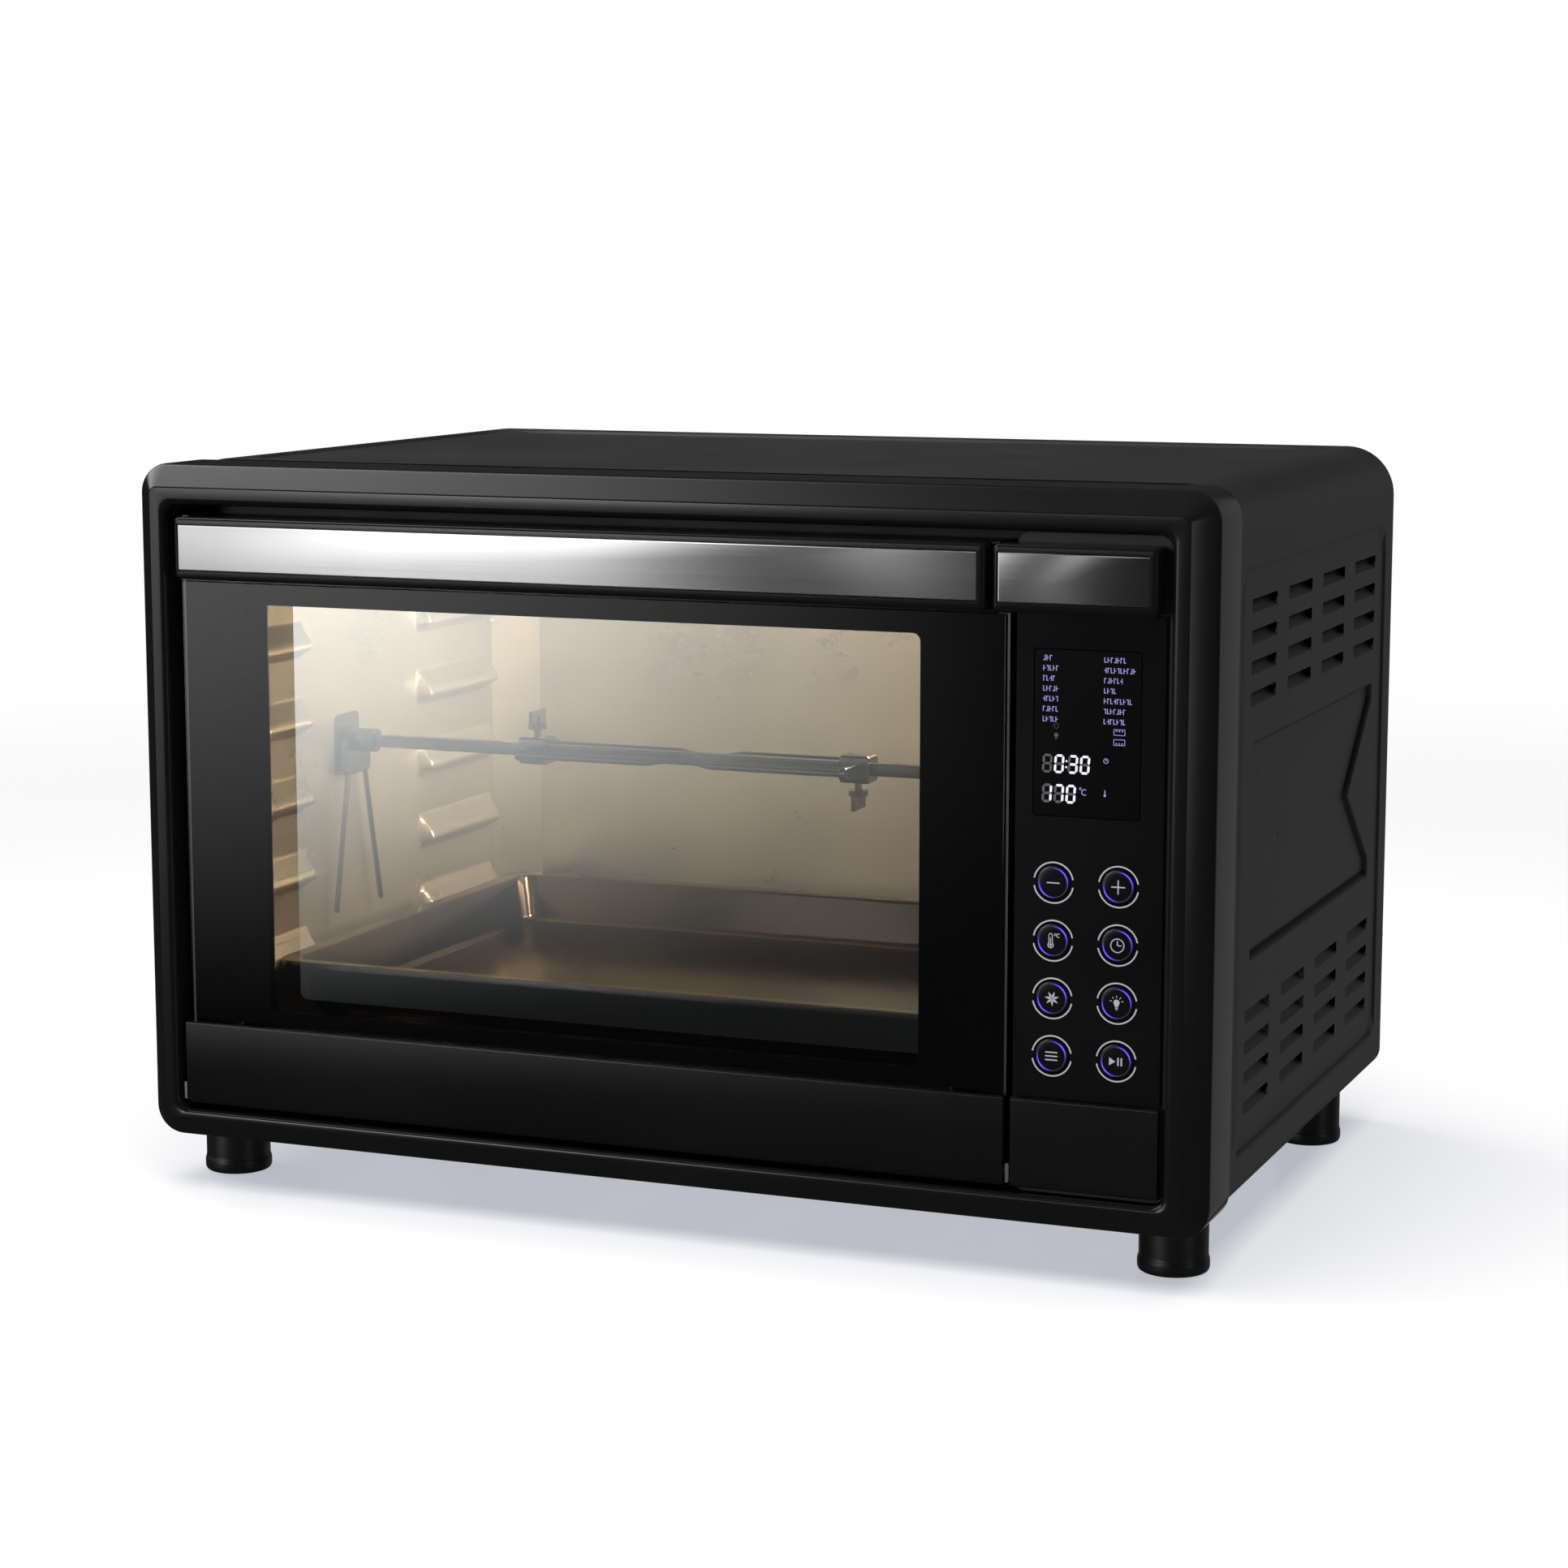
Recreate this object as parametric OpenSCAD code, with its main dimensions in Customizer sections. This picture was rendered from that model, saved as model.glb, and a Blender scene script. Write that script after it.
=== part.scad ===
// Countertop toaster oven with a drop-down glass door, a rotisserie, a convection fan
// and a push-button control panel.
// Millimetres. +X right, -Y towards the user, +Z up. The origin is on the floor,
// under the centre of the oven.

/* [Body] */
// Overall width across the front bezel
body_w = 561; // [558:0.5:566]
// Height from the floor to the top of the wrap
body_h = 372; // [371:0.5:376]
// Depth from the handle's face to the back of the rear bulge
body_d = 404; // [400:1:410]
// Height of the bezel's lower edge above the floor
bezel_z0 = 25.3; // [22:0.1:26]
// Sheet thickness of the outer wrap
sheet_t = 1; // [0.8:0.1:1.2]
// Radius of the wrap's top edges
wrap_r = 26; // [22:1:28]
// Depth of the sheet body behind the door glass
wrap_back = 370; // [366:1:374]

/* [Front bezel] */
// Width of the ring around the door and the panel
ring_w = 19.5; // [17:0.5:20]
// Width of the bevel on the ring's outer edge
ring_bevel = 11.2; // [8:0.2:12]
// Radius of the bezel's outer corners
ring_r = 15; // [13:0.5:18]
// How far the ring stands in front of the door glass
ring_proud = 6; // [4:0.5:7]
// Radius of the corners of the ring's opening
ring_inner_r = 7; // [4:0.5:9]

/* [Door] */
// Left edge of the door
door_x0 = -257.4; // [-258:0.1:-256]
// Right edge of the door
door_x1 = 182.8; // [182:0.1:183]
// Lower edge of the door
door_z0 = 44.2; // [44:0.1:45]
// Top of the door
door_z1 = 346; // [344:0.5:347]
// Top of the lower door strip
strip_z1 = 87; // [84:0.5:90]
// Height of the hinge axis
hinge_z = 50; // [49.5:0.1:50.5]
// Radius of the hinge pins
pin_r = 3; // [2.5:0.1:3.2]
// Width of the handle's steel plate
plate_w = 421.1; // [415:0.5:422]
// Height of the handle's steel plate
plate_h = 23.4; // [20:0.2:24]
// How far the handle stands in front of the door glass
handle_out = 13; // [12:0.5:14]

/* [Control panel] */
// Left edge of the panel
panel_x0 = 186.3; // [186:0.1:187]
// Right edge of the panel
panel_x1 = 257.6; // [256:0.1:258]
// Radius of a button cap
button_r = 8; // [6.5:0.1:8.2]
// Pitch of the two columns of buttons
button_dx = 31.1; // [28:0.1:34]
// Pitch of the rows of buttons
button_dz = 27.2; // [25:0.1:28]

/* [Cavity] */
// Left wall of the cooking cavity
cav_x0 = -232; // [-236:1:-230]
// Right wall of the cooking cavity
cav_x1 = 162; // [158:1:164]
// Floor of the cooking cavity
cav_z0 = 62; // [60:1:64]
// Ceiling of the cooking cavity
cav_z1 = 342; // [340:1:346]
// Pitch of the tray runners
runner_dz = 40.5; // [36:0.5:42]
// Radius of the heating tubes
heater_r = 3.3; // [2.8:0.1:4]

/* [Hidden] */

BUTTON_NODES = [
    "button_minus", "button_plus", "button_heat", "button_clock",
    "button_fan", "button_lamp", "button_menu", "button_play"
];
FOOT_NODES = ["foot_front_left", "foot_front_right", "foot_rear_left", "foot_rear_right"];

$fn = 72;
eps = 0.01;

// y of the door glass's outer face; depths below are measured back from it
glass_y = -body_d / 2 + handle_out;
function yf(depth) = glass_y + depth;

// Bezel
half_w = body_w / 2;
bezel_z1 = body_h - 0.6;
bezel_back = 42;
bezel_wall = 3;
collar_wall = 2.5;
collar_back = 24;
opening_hw = half_w - ring_w;
opening_z0 = bezel_z0 + 16;
opening_z1 = bezel_z1 - 19.9;

// Wrap
wrap_hw = half_w - 1.5;
wrap_z0 = bezel_z0 + 4.7;
wrap_front = 45;
wrap_bottom_r = 10;
wrap_flange = 22;
emboss_lap = 1;
sunk_y0 = 51;
sunk_y1 = 352;
side_z0 = 52;
side_z1 = 331.5;
side_r = 15;
waist_y = [82, 329];
waist_ends_z = [144, 247];
louvre_w = 46;
louvre_h = 6.5;
louvre_dz = 14.7;
louvre_cols = [97, 167.6, 238.3, 308.9];
louvre_top_rows = [for (i = [0:3]) 313.2 - i * louvre_dz];
louvre_low_rows = [for (i = [0:3]) 116.6 - i * louvre_dz];

// Rear bulge
bulge_hw = 215;
bulge_z0 = 75;
bulge_z1 = 335;
bulge_r = 18;
vent_h = 5;
vent_dz = 11;
bulge_back = body_d - handle_out;
rear_plate_back = wrap_back - 0.2;
cord_x = 236;
cord_z = 56;
cord_r = 4.1;
gland_neck_r = 6.5;

// Feet
foot_x = 254;
foot_r = 17.3;
foot_edge_r = 3;
foot_front_y = 41;
foot_rear_y = 309;
foot_screw_r = 6;
foot_screw_back = 10.5;

// Cavity
cav_t = 0.8;
face_y = 26;
cav_y0 = face_y + cav_t;
cav_y1 = 335;
back_bevel_y = 300;
back_bevel_x = 14;
runner_out = 8;
runner_rise = 12;
runner_z = 112;
runner_count = 5;
runner_front = [28, 80];
runner_rear = [206, 296];

// Rotisserie, fan and lamp on the cavity walls
spit_y = 125;
spit_z = 218;
spit_side = 6.4;
journal_r = 4;
fork_left_x = -118;
fork_right_x = 62;
fan_y = 150;
fan_z = 285;
grille_r = 45;
grille_out = 11;
shaft_r = 2.5;
run_gap = 0.05;
lamp_y = 226;
lamp_z = 310;
lamp_r = 16;
probe_y = 54;
probe_z = 334;

// Heating tubes
heater_leg_y = [100, 250];
heater_top_z = 329;
heater_low_z = 76;
heater_bend_r = (heater_leg_y[1] - heater_leg_y[0]) / 2;
heater_bend_x = -130;
heater_end_x = cav_x1 + 14;

// Baking tray
tray_rim_z = 115.3;
tray_t = 1;
tray_depth = 28;
tray_x0 = cav_x0 + 6.6;
tray_x1 = cav_x1 - 6.6;
tray_y0 = 31;
tray_y1 = 318;
tray_rim = 9;
tray_slope = 6;

// Door
hinge_y = 3;
door_back = 24.5;
glass_t = 4;
inner_glass_y = 19.5;
strip_proud = 3;
outer_glass_x0 = door_x0 + 2.4;
outer_glass_x1 = door_x1 - 1.8;
notch_x = 176.5;
notch_z = 313;
pane_x0 = -227;
pane_x1 = 154;
pane_z0 = 81;
pane_z1 = 316;
lip = 7;
frame_t = 1.2;
bore_depth = 14.4;

// Handle and the trim that continues it across the panel
handle_x0 = door_x0 + 6.4;
handle_x1 = 175;
handle_z0 = 315;
plate_x0 = handle_x0 + 1.5;
plate_z0 = 319.2;
plate_t = 0.8;
plate_sunk = 0.6;
grip_wall = 4.5;
trim_x0 = 178.7;
trim_x1 = 256.5;
trim_plate_x0 = 180.7;
trim_plate_x1 = 253.6;

// Control panel
fascia_t = 2;
housing_y = 2.2;
housing_t = 3;
housing_x1 = 260.4;
display_x0 = 194.9;
display_x1 = 246.2;
display_z0 = 220.5;
display_z1 = 298;
display_gap = 0.15;
button_x0 = 205.4;
button_z1 = 189.6;
button_gap = 0.3;
button_proud = 0.6;
button_travel = 0.8;
board_y = 10;
board_t = 1.6;

// Colours
black = [0.05, 0.05, 0.055];
satin_black = [0.09, 0.09, 0.095];
steel = [0.72, 0.72, 0.73];
bright_steel = [0.85, 0.85, 0.86];
aluminised = [0.66, 0.65, 0.62];
ceramic = [0.92, 0.9, 0.85];
smoked_glass = [0.1, 0.1, 0.12, 0.6];
clear_glass = [0.75, 0.82, 0.85, 0.35];
board_green = [0.05, 0.3, 0.15];
enamel = [0.12, 0.12, 0.13];

// ---------------------------------------------------------------- shared shapes

// Outline in x and z pushed along y, between two depths behind the door glass
module along_y(d0, d1) {
    translate([0, yf(d1), 0]) rotate([90, 0, 0]) linear_extrude(d1 - d0) children();
}

// Outline in depth and z pushed along x
module along_x(x0, x1) {
    translate([x0, glass_y, 0]) rotate([90, 0, 90]) linear_extrude(x1 - x0) children();
}

// Round bar along x, centred at a depth and a height
module bar_x(x0, x1, depth, z, r) {
    translate([x0, yf(depth), z]) rotate([0, 90, 0]) cylinder(h = x1 - x0, r = r);
}

// Round bar along y, between two depths
module bar_y(d0, d1, x, z, r) {
    translate([x, yf(d1), z]) rotate([90, 0, 0]) cylinder(h = d1 - d0, r = r);
}

// Box between two corners, its y given as depths
module block(x0, d0, z0, x1, d1, z1) {
    translate([x0, yf(d0), z0]) cube([x1 - x0, d1 - d0, z1 - z0]);
}

// Rectangle between two corners
module rect(x0, z0, x1, z1) {
    translate([x0, z0]) square([x1 - x0, z1 - z0]);
}

// Rounded rectangle between two corners, with true arcs
module rrect(x0, z0, x1, z1, r) {
    rect(x0 + r, z0, x1 - r, z1);
    rect(x0, z0 + r, x1, z1 - r);
    for (x = [x0 + r, x1 - r], z = [z0 + r, z1 - r]) translate([x, z]) circle(r);
}

// Slot with round ends, centred at x and z
module slot(x, z, w, h) {
    rect(x - (w - h) / 2, z - h / 2, x + (w - h) / 2, z + h / 2);
    for (side = [-1, 1]) translate([x + side * (w - h) / 2, z]) circle(h / 2);
}

// ---------------------------------------------------------------- outer body

// Section of the wrap, inset from its outer face
module wrap_outline(inset) {
    hw = wrap_hw - inset;
    z0 = wrap_z0 + inset;
    z1 = body_h - inset;
    top_r = wrap_r - inset;
    low_r = wrap_bottom_r - inset;
    rect(-hw, z0 + low_r, hw, z1 - top_r);
    rect(-hw + top_r, z1 - top_r - eps, hw - top_r, z1);
    rect(-hw + low_r, z0, hw - low_r, z0 + low_r + eps);
    for (side = [-1, 1]) {
        translate([side * (hw - top_r), z1 - top_r]) circle(top_r);
        translate([side * (hw - low_r), z0 + low_r]) circle(low_r);
    }
}

// Outline of the sunk panel in each side, in depth and z
module side_panel_outline(grow) {
    rrect(sunk_y0 - grow, side_z0 - grow, sunk_y1 + grow, side_z1 + grow, side_r + grow);
}

// Waisted figure pressed into the middle of each side
module waist_outline(grow) {
    y0 = waist_y[0] - grow;
    y1 = waist_y[1] + grow;
    z0 = waist_ends_z[0] - grow;
    z1 = waist_ends_z[1] + grow;
    waist_z = (z0 + z1) / 2;
    dent = 52;
    straight = 8;
    polygon([
        [y0, z0], [y1, z0], [y1, z0 + straight], [y1 - dent, waist_z],
        [y1, z1 - straight], [y1, z1], [y0, z1], [y0, z1 - straight],
        [y0 + dent, waist_z], [y0, z0 + straight]
    ]);
}

// Louvre slots of one side
module louvre_outlines() {
    for (y = louvre_cols, z = concat(louvre_top_rows, louvre_low_rows)) {
        slot(y, z, louvre_w, louvre_h);
    }
}

// Outline of the sunk panel in the top, in x and depth
module top_panel_outline(grow) {
    rrect(-250 - grow, yf(56) - grow, 250 + grow, yf(352) + grow, 14 + grow);
}

module outer_wrap() {
    sunk = wrap_hw - sheet_t;
    color(satin_black) difference() {
        union() {
            difference() {
                along_y(wrap_front, wrap_back) difference() {
                    wrap_outline(0);
                    wrap_outline(sheet_t);
                    rect(-wrap_hw + wrap_flange, wrap_z0 - 1, wrap_hw - wrap_flange, wrap_z0 + 2);
                }
                for (x = [-wrap_hw - 1, sunk - eps]) {
                    along_x(x, x + sheet_t + 1 + eps) side_panel_outline(0);
                }
                translate([0, 0, body_h - sheet_t - eps]) linear_extrude(2) top_panel_outline(0);
            }
            for (x = [-sunk, sunk - sheet_t]) along_x(x, x + sheet_t) difference() {
                side_panel_outline(emboss_lap);
                waist_outline(0);
            }
            for (x = [-sunk + sheet_t, sunk - 2 * sheet_t]) {
                along_x(x, x + sheet_t) waist_outline(emboss_lap);
            }
            translate([0, 0, body_h - 2 * sheet_t]) linear_extrude(sheet_t) {
                top_panel_outline(emboss_lap);
            }
        }
        for (x = [-wrap_hw - 1, sunk - 3 * sheet_t]) along_x(x, x + 5 * sheet_t) louvre_outlines();
    }
}

// Rear plate with vents, the cord's hole and an opening under the bulge
module rear_plate() {
    lap = 4;
    color(satin_black) difference() {
        along_y(rear_plate_back - sheet_t, rear_plate_back) wrap_outline(sheet_t + 0.3);
        along_y(rear_plate_back - 2, rear_plate_back + 1) {
            bulge_outline(lap);
            for (x = [-150, -50, 50, 150], i = [0:1]) slot(x, 48 + i * vent_dz, 60, vent_h);
        }
        bar_y(rear_plate_back - 2, rear_plate_back + 1, cord_x, cord_z, gland_neck_r + 0.2);
    }
}

// Boxed bulge for the wiring, open towards the rear plate
module rear_bulge() {
    color(satin_black) difference() {
        along_y(rear_plate_back + eps, bulge_back) bulge_outline(0);
        along_y(rear_plate_back, bulge_back - sheet_t) bulge_outline(sheet_t);
        along_y(bulge_back - 2, bulge_back + 1) {
            for (x = [-140, 0, 140], i = [0:7]) slot(x, 167 + i * vent_dz, 90, vent_h);
        }
    }
}

// Outline of the rear bulge, inset from its outer face
module bulge_outline(inset) {
    hw = bulge_hw - inset;
    rrect(-hw, bulge_z0 + inset, hw, bulge_z1 - inset, bulge_r - inset);
}

// Floor of the outer body, resting on the wrap's lower flanges
module base_pan() {
    pan_z = wrap_z0 + sheet_t + 0.1;
    pan_hw = wrap_hw - wrap_bottom_r - 1;
    pan_front = 48;
    vent_front = 130;
    vent_dy = 26;
    color(steel) difference() {
        block(-pan_hw, pan_front, pan_z, pan_hw, rear_plate_back - 1.2, pan_z + sheet_t);
        for (x = [-130, -40, 50, 220], i = [0:5]) {
            translate([0, 0, pan_z - 1]) linear_extrude(3) slot(x, yf(vent_front + i * vent_dy), 60, 6);
        }
    }
}

// Front of the bezel, bevelled all round
module bevel_solid() {
    d0 = -ring_proud;
    d1 = d0 + ring_bevel;
    cx = half_w - ring_r;
    low_z = bezel_z0 + ring_r;
    high_z = bezel_z1 - ring_r;
    translate([0, 0, low_z]) linear_extrude(high_z - low_z) polygon([
        [-half_w + ring_bevel, yf(d0)], [half_w - ring_bevel, yf(d0)],
        [half_w, yf(d1)], [-half_w, yf(d1)]
    ]);
    along_x(-cx, cx) polygon([
        [d0, bezel_z0 + ring_bevel], [d0, bezel_z1 - ring_bevel],
        [d1, bezel_z1], [d1, bezel_z0]
    ]);
    for (x = [-cx, cx], z = [low_z, high_z]) {
        translate([x, yf(d1), z]) rotate([90, 0, 0]) {
            cylinder(h = ring_bevel, r1 = ring_r, r2 = ring_r - ring_bevel);
        }
    }
}

module front_bezel() {
    collar = collar_wall;
    bevel_back = ring_bevel - ring_proud;
    color(black) difference() {
        union() {
            bevel_solid();
            along_y(bevel_back - eps, bezel_back) {
                rrect(-half_w, bezel_z0, half_w, bezel_z1, ring_r);
            }
        }
        along_y(-ring_proud - 1, bezel_back + 1) {
            rrect(-opening_hw, opening_z0, opening_hw, opening_z1, ring_inner_r);
        }
        along_y(bevel_back + 1, bezel_back + 1) difference() {
            rrect(-half_w + bezel_wall, bezel_z0 + bezel_wall,
                half_w - bezel_wall, bezel_z1 - bezel_wall, ring_r - bezel_wall);
            rrect(-opening_hw - collar, opening_z0 - collar,
                opening_hw + collar, opening_z1 + collar, ring_inner_r + collar);
        }
        along_y(collar_back, bezel_back + 1) {
            rrect(-opening_hw - 5, opening_z0 - 5, opening_hw + 5, opening_z1 + 5, 9);
        }
    }
}

module seam_strip() {
    color(black) along_y(bezel_back + 0.1, 47) difference() {
        wrap_outline(sheet_t + 0.8);
        wrap_outline(sheet_t + 4.8);
    }
}

// Rubber foot with a rounded lower edge and a screw stem behind its centre
module foot(i) {
    front = i < 2;
    top = front ? bezel_z0 : wrap_z0;
    depth = front ? foot_front_y : foot_rear_y;
    x = (i % 2 == 0 ? -1 : 1) * foot_x;
    color(black) translate([x, yf(depth), 0]) {
        rotate_extrude() {
            rect(0, foot_edge_r, foot_r, top);
            rect(0, 0, foot_r - foot_edge_r, foot_edge_r + eps);
            intersection() {
                translate([foot_r - foot_edge_r, foot_edge_r]) circle(foot_edge_r);
                rect(0, 0, foot_r, foot_edge_r + eps);
            }
        }
        if (front) translate([0, foot_screw_back, top - 1]) {
            cylinder(h = wrap_z0 - top + 1, r = foot_screw_r);
        }
    }
}

// ---------------------------------------------------------------- cavity

// Runners pressed into a side wall; out is +1 where the wall faces +x
module runners(wall_x, out) {
    for (i = [0:runner_count - 1], span = [runner_front, runner_rear]) {
        z = runner_z + i * runner_dz;
        translate([0, yf(span[1]), 0]) rotate([90, 0, 0]) linear_extrude(span[1] - span[0]) polygon([
            [wall_x - out * cav_t / 2, z + runner_rise],
            [wall_x + out * eps, z + runner_rise],
            [wall_x + out * runner_out, z],
            [wall_x + out * runner_out, z - 2.5],
            [wall_x + out * eps, z - 6],
            [wall_x - out * cav_t / 2, z - 6]
        ]);
    }
}

module cavity_left_wall() {
    color(aluminised) {
        block(cav_x0 - cav_t, cav_y0, cav_z0, cav_x0, back_bevel_y, cav_z1);
        runners(cav_x0, 1);
    }
}

module cavity_right_wall() {
    color(aluminised) difference() {
        union() {
            block(cav_x1, cav_y0, cav_z0, cav_x1 + cav_t, back_bevel_y, cav_z1);
            runners(cav_x1, -1);
        }
        bar_x(cav_x1 - 1, cav_x1 + 2, fan_y, fan_z, 8);
        bar_x(cav_x1 - 1, cav_x1 + 2, spit_y, spit_z, 6);
        bar_x(cav_x1 - 1, cav_x1 + 2, lamp_y, lamp_z, 12);
        for (y = heater_leg_y, z = [heater_low_z, heater_top_z]) {
            bar_x(cav_x1 - 1, cav_x1 + 2, y, z, heater_r + 1.2);
        }
        bar_x(cav_x1 - 1, cav_x1 + 2, probe_y, probe_z, 2.3);
    }
}

// Flat sheet across the cavity, following the bevelled back corners
module cavity_slab(z0) {
    color(aluminised) translate([0, 0, z0]) linear_extrude(cav_t) polygon([
        [cav_x0 - cav_t, yf(cav_y0)], [cav_x1 + cav_t, yf(cav_y0)],
        [cav_x1 + cav_t, yf(back_bevel_y)], [cav_x1 - back_bevel_x, yf(cav_y1 + cav_t)],
        [cav_x0 + back_bevel_x, yf(cav_y1 + cav_t)], [cav_x0 - cav_t, yf(back_bevel_y)]
    ]);
}

module cavity_back() {
    color(aluminised) translate([0, 0, cav_z0]) linear_extrude(cav_z1 - cav_z0) polygon([
        [cav_x0, yf(back_bevel_y)], [cav_x0 + back_bevel_x, yf(cav_y1)],
        [cav_x1 - back_bevel_x, yf(cav_y1)], [cav_x1, yf(back_bevel_y)],
        [cav_x1 + cav_t, yf(back_bevel_y)], [cav_x1 - back_bevel_x + cav_t, yf(cav_y1 + cav_t)],
        [cav_x0 + back_bevel_x - cav_t, yf(cav_y1 + cav_t)], [cav_x0 - cav_t, yf(back_bevel_y)]
    ]);
}

module cavity_face_frame() {
    color(steel) along_y(face_y, face_y + cav_t) difference() {
        rrect(-276, 33, 185.4, 366, 20);
        rect(cav_x0, cav_z0, cav_x1, cav_z1);
    }
}

module crumb_tray() {
    z = cav_z0 + 0.2;
    side_gap = 5;
    front = 30;
    back = 296;
    rim_h = 5;
    wall = 1;
    x0 = cav_x0 + side_gap;
    x1 = cav_x1 - side_gap;
    color(steel) {
        difference() {
            block(x0, front, z, x1, back, z + rim_h);
            block(x0 + wall, front + wall, z + wall, x1 - wall, back - wall, z + rim_h + 1);
        }
        block(cav_x0 + 120, front - 2, z + wall, cav_x1 - 120, front + eps, z + rim_h);
    }
}

// U-shaped tube with both ends in the right wall
module heating_tube(z) {
    color(satin_black) {
        for (y = heater_leg_y) bar_x(heater_bend_x, heater_end_x, y, z, heater_r);
        translate([heater_bend_x, yf(heater_leg_y[0] + heater_bend_r), z]) rotate([0, 0, 90]) {
            rotate_extrude(angle = 180) translate([heater_bend_r, 0]) circle(heater_r);
        }
    }
}

// Ceramic bush around each tube end, outside the right wall
module heater_bushes() {
    color(ceramic) for (y = heater_leg_y, z = [heater_low_z, heater_top_z]) difference() {
        union() {
            bar_x(cav_x1 + cav_t, cav_x1 + cav_t + 8, y, z, 8);
            bar_x(cav_x1 + cav_t + 8 - eps, cav_x1 + cav_t + 11, y, z, 5.5);
        }
        bar_x(cav_x1, cav_x1 + 20, y, z, heater_r + run_gap);
    }
}

// ---------------------------------------------------------------- fan, lamp, rotisserie drive

module fan_grille() {
    color(aluminised) difference() {
        bar_x(cav_x1 - grille_out, cav_x1 - eps, fan_y, fan_z, grille_r);
        bar_x(cav_x1 - grille_out + 1, cav_x1 + 1, fan_y, fan_z, grille_r - 1);
        for (i = [0:15]) translate([cav_x1 - grille_out - 1, yf(fan_y), fan_z]) rotate([i * 22.5, 0, 0]) {
            translate([0, -1.6, 14]) cube([3, 3.2, 24]);
        }
    }
}

module fan_motor() {
    x0 = cav_x1 + 8;
    color(steel) difference() {
        union() {
            bar_x(x0, x0 + 34, fan_y, fan_z, 26);
            bar_x(x0 + 34 - eps, x0 + 38, fan_y, fan_z, 10);
            block(x0 - 7, fan_y - 32, fan_z - 8, x0 + 2, fan_y + 32, fan_z + 8);
        }
        bar_x(x0 - 8, x0 + 40, fan_y, fan_z, shaft_r + run_gap);
    }
}

module fan_impeller() {
    blade_x = cav_x1 - 8.6;
    color(aluminised) {
        bar_x(cav_x1 - 3.4, cav_x1 - 2.4, fan_y, fan_z, 37);
        bar_x(blade_x, cav_x1 - 2.4 - eps, fan_y, fan_z, 6);
        bar_x(cav_x1 - 3, cav_x1 + 60, fan_y, fan_z, shaft_r);
        for (i = [0:9]) translate([blade_x, yf(fan_y), fan_z]) rotate([i * 36, 0, 0]) {
            translate([0, -0.6, 20]) rotate([18, 0, 0]) cube([5.4, 1.2, 15]);
        }
    }
}

module cooling_blade() {
    x0 = cav_x1 + 49;
    color(satin_black) difference() {
        union() {
            bar_x(x0, x0 + 10, fan_y, fan_z, 7);
            bar_x(x0, x0 + 1, fan_y, fan_z, 32);
            for (i = [0:7]) translate([x0, yf(fan_y), fan_z]) rotate([i * 45, 0, 0]) {
                translate([0, -0.6, 6]) cube([9, 1.2, 25]);
            }
        }
        bar_x(x0 - 1, x0 + 11, fan_y, fan_z, shaft_r);
    }
}

module spit_motor() {
    x0 = cav_x1 + 10;
    color(steel) difference() {
        union() {
            bar_x(x0, x0 + 20, spit_y, spit_z, 24);
            block(x0 - 9, spit_y - 30, spit_z - 7, x0 + 2, spit_y + 30, spit_z + 7);
        }
        bar_x(x0 - 10, x0 + 17, spit_y, spit_z, journal_r + run_gap);
    }
}

module spit_socket() {
    color(steel) difference() {
        union() {
            bar_x(cav_x1 - 12, cav_x1 - 1.5, spit_y, spit_z, 8.5);
            bar_x(cav_x1 - 2, cav_x1 + 26, spit_y, spit_z, journal_r);
        }
        block(cav_x1 - 13, spit_y - 3.5, spit_z - 3.5, cav_x1 - 4, spit_y + 3.5, spit_z + 3.5);
    }
}

// Cradle on the left wall that carries the rod's journal
module spit_bracket() {
    plate_x = cav_x0 + 4.5;
    color(steel) {
        along_x(plate_x, plate_x + 3) difference() {
            rrect(spit_y - 13, spit_z - 18, spit_y + 13, spit_z + 2, 4);
            translate([spit_y, spit_z]) circle(journal_r + 0.3);
            rect(spit_y - journal_r - 0.3, spit_z, spit_y + journal_r + 0.3, spit_z + 3);
        }
        block(cav_x0 + eps, spit_y - 13, spit_z - 18, plate_x + 1, spit_y + 13, spit_z - 16);
        along_x(cav_x0 + eps, cav_x0 + 0.9) rrect(spit_y - 13, spit_z - 18, spit_y + 13, spit_z + 14, 4);
        for (side = [-1, 1]) translate([plate_x + 1.5, yf(spit_y + side * 9), spit_z - 16]) {
            rotate([180 + side * 12, 0, 0]) cylinder(h = 76, r = 1.4);
        }
    }
}

module lamp_glass() {
    color(clear_glass) translate([cav_x1 - eps, yf(lamp_y), lamp_z]) rotate([0, -90, 0]) difference() {
        union() {
            cylinder(h = 3, r = lamp_r);
            cylinder(h = 7, r = lamp_r - 3);
        }
        translate([0, 0, -1]) cylinder(h = 6.8, r = lamp_r - 4.5);
    }
}

// Lamp with a rounded tip and a narrower cap, its axis along x
module lamp_bulb() {
    bulb_r = 8;
    edge_r = 5;
    glass_len = 14;
    cap_r = 5.5;
    cap_len = 14;
    color(ceramic) translate([cav_x1 - 4, yf(lamp_y), lamp_z]) rotate([0, 90, 0]) rotate_extrude() {
        rect(0, 0, bulb_r - edge_r, edge_r + eps);
        rect(0, edge_r, bulb_r, glass_len);
        intersection() {
            translate([bulb_r - edge_r, edge_r]) circle(edge_r);
            rect(0, 0, bulb_r, edge_r + eps);
        }
        rect(0, glass_len - eps, cap_r, glass_len + cap_len);
    }
}

module lamp_holder() {
    color(ceramic) difference() {
        bar_x(cav_x1 + cav_t + 0.1, cav_x1 + 28, lamp_y, lamp_z, lamp_r);
        bar_x(cav_x1, cav_x1 + 13, lamp_y, lamp_z, 12);
        bar_x(cav_x1 + 12, cav_x1 + 25, lamp_y, lamp_z, 5.7);
    }
}

// ---------------------------------------------------------------- rotisserie

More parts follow.
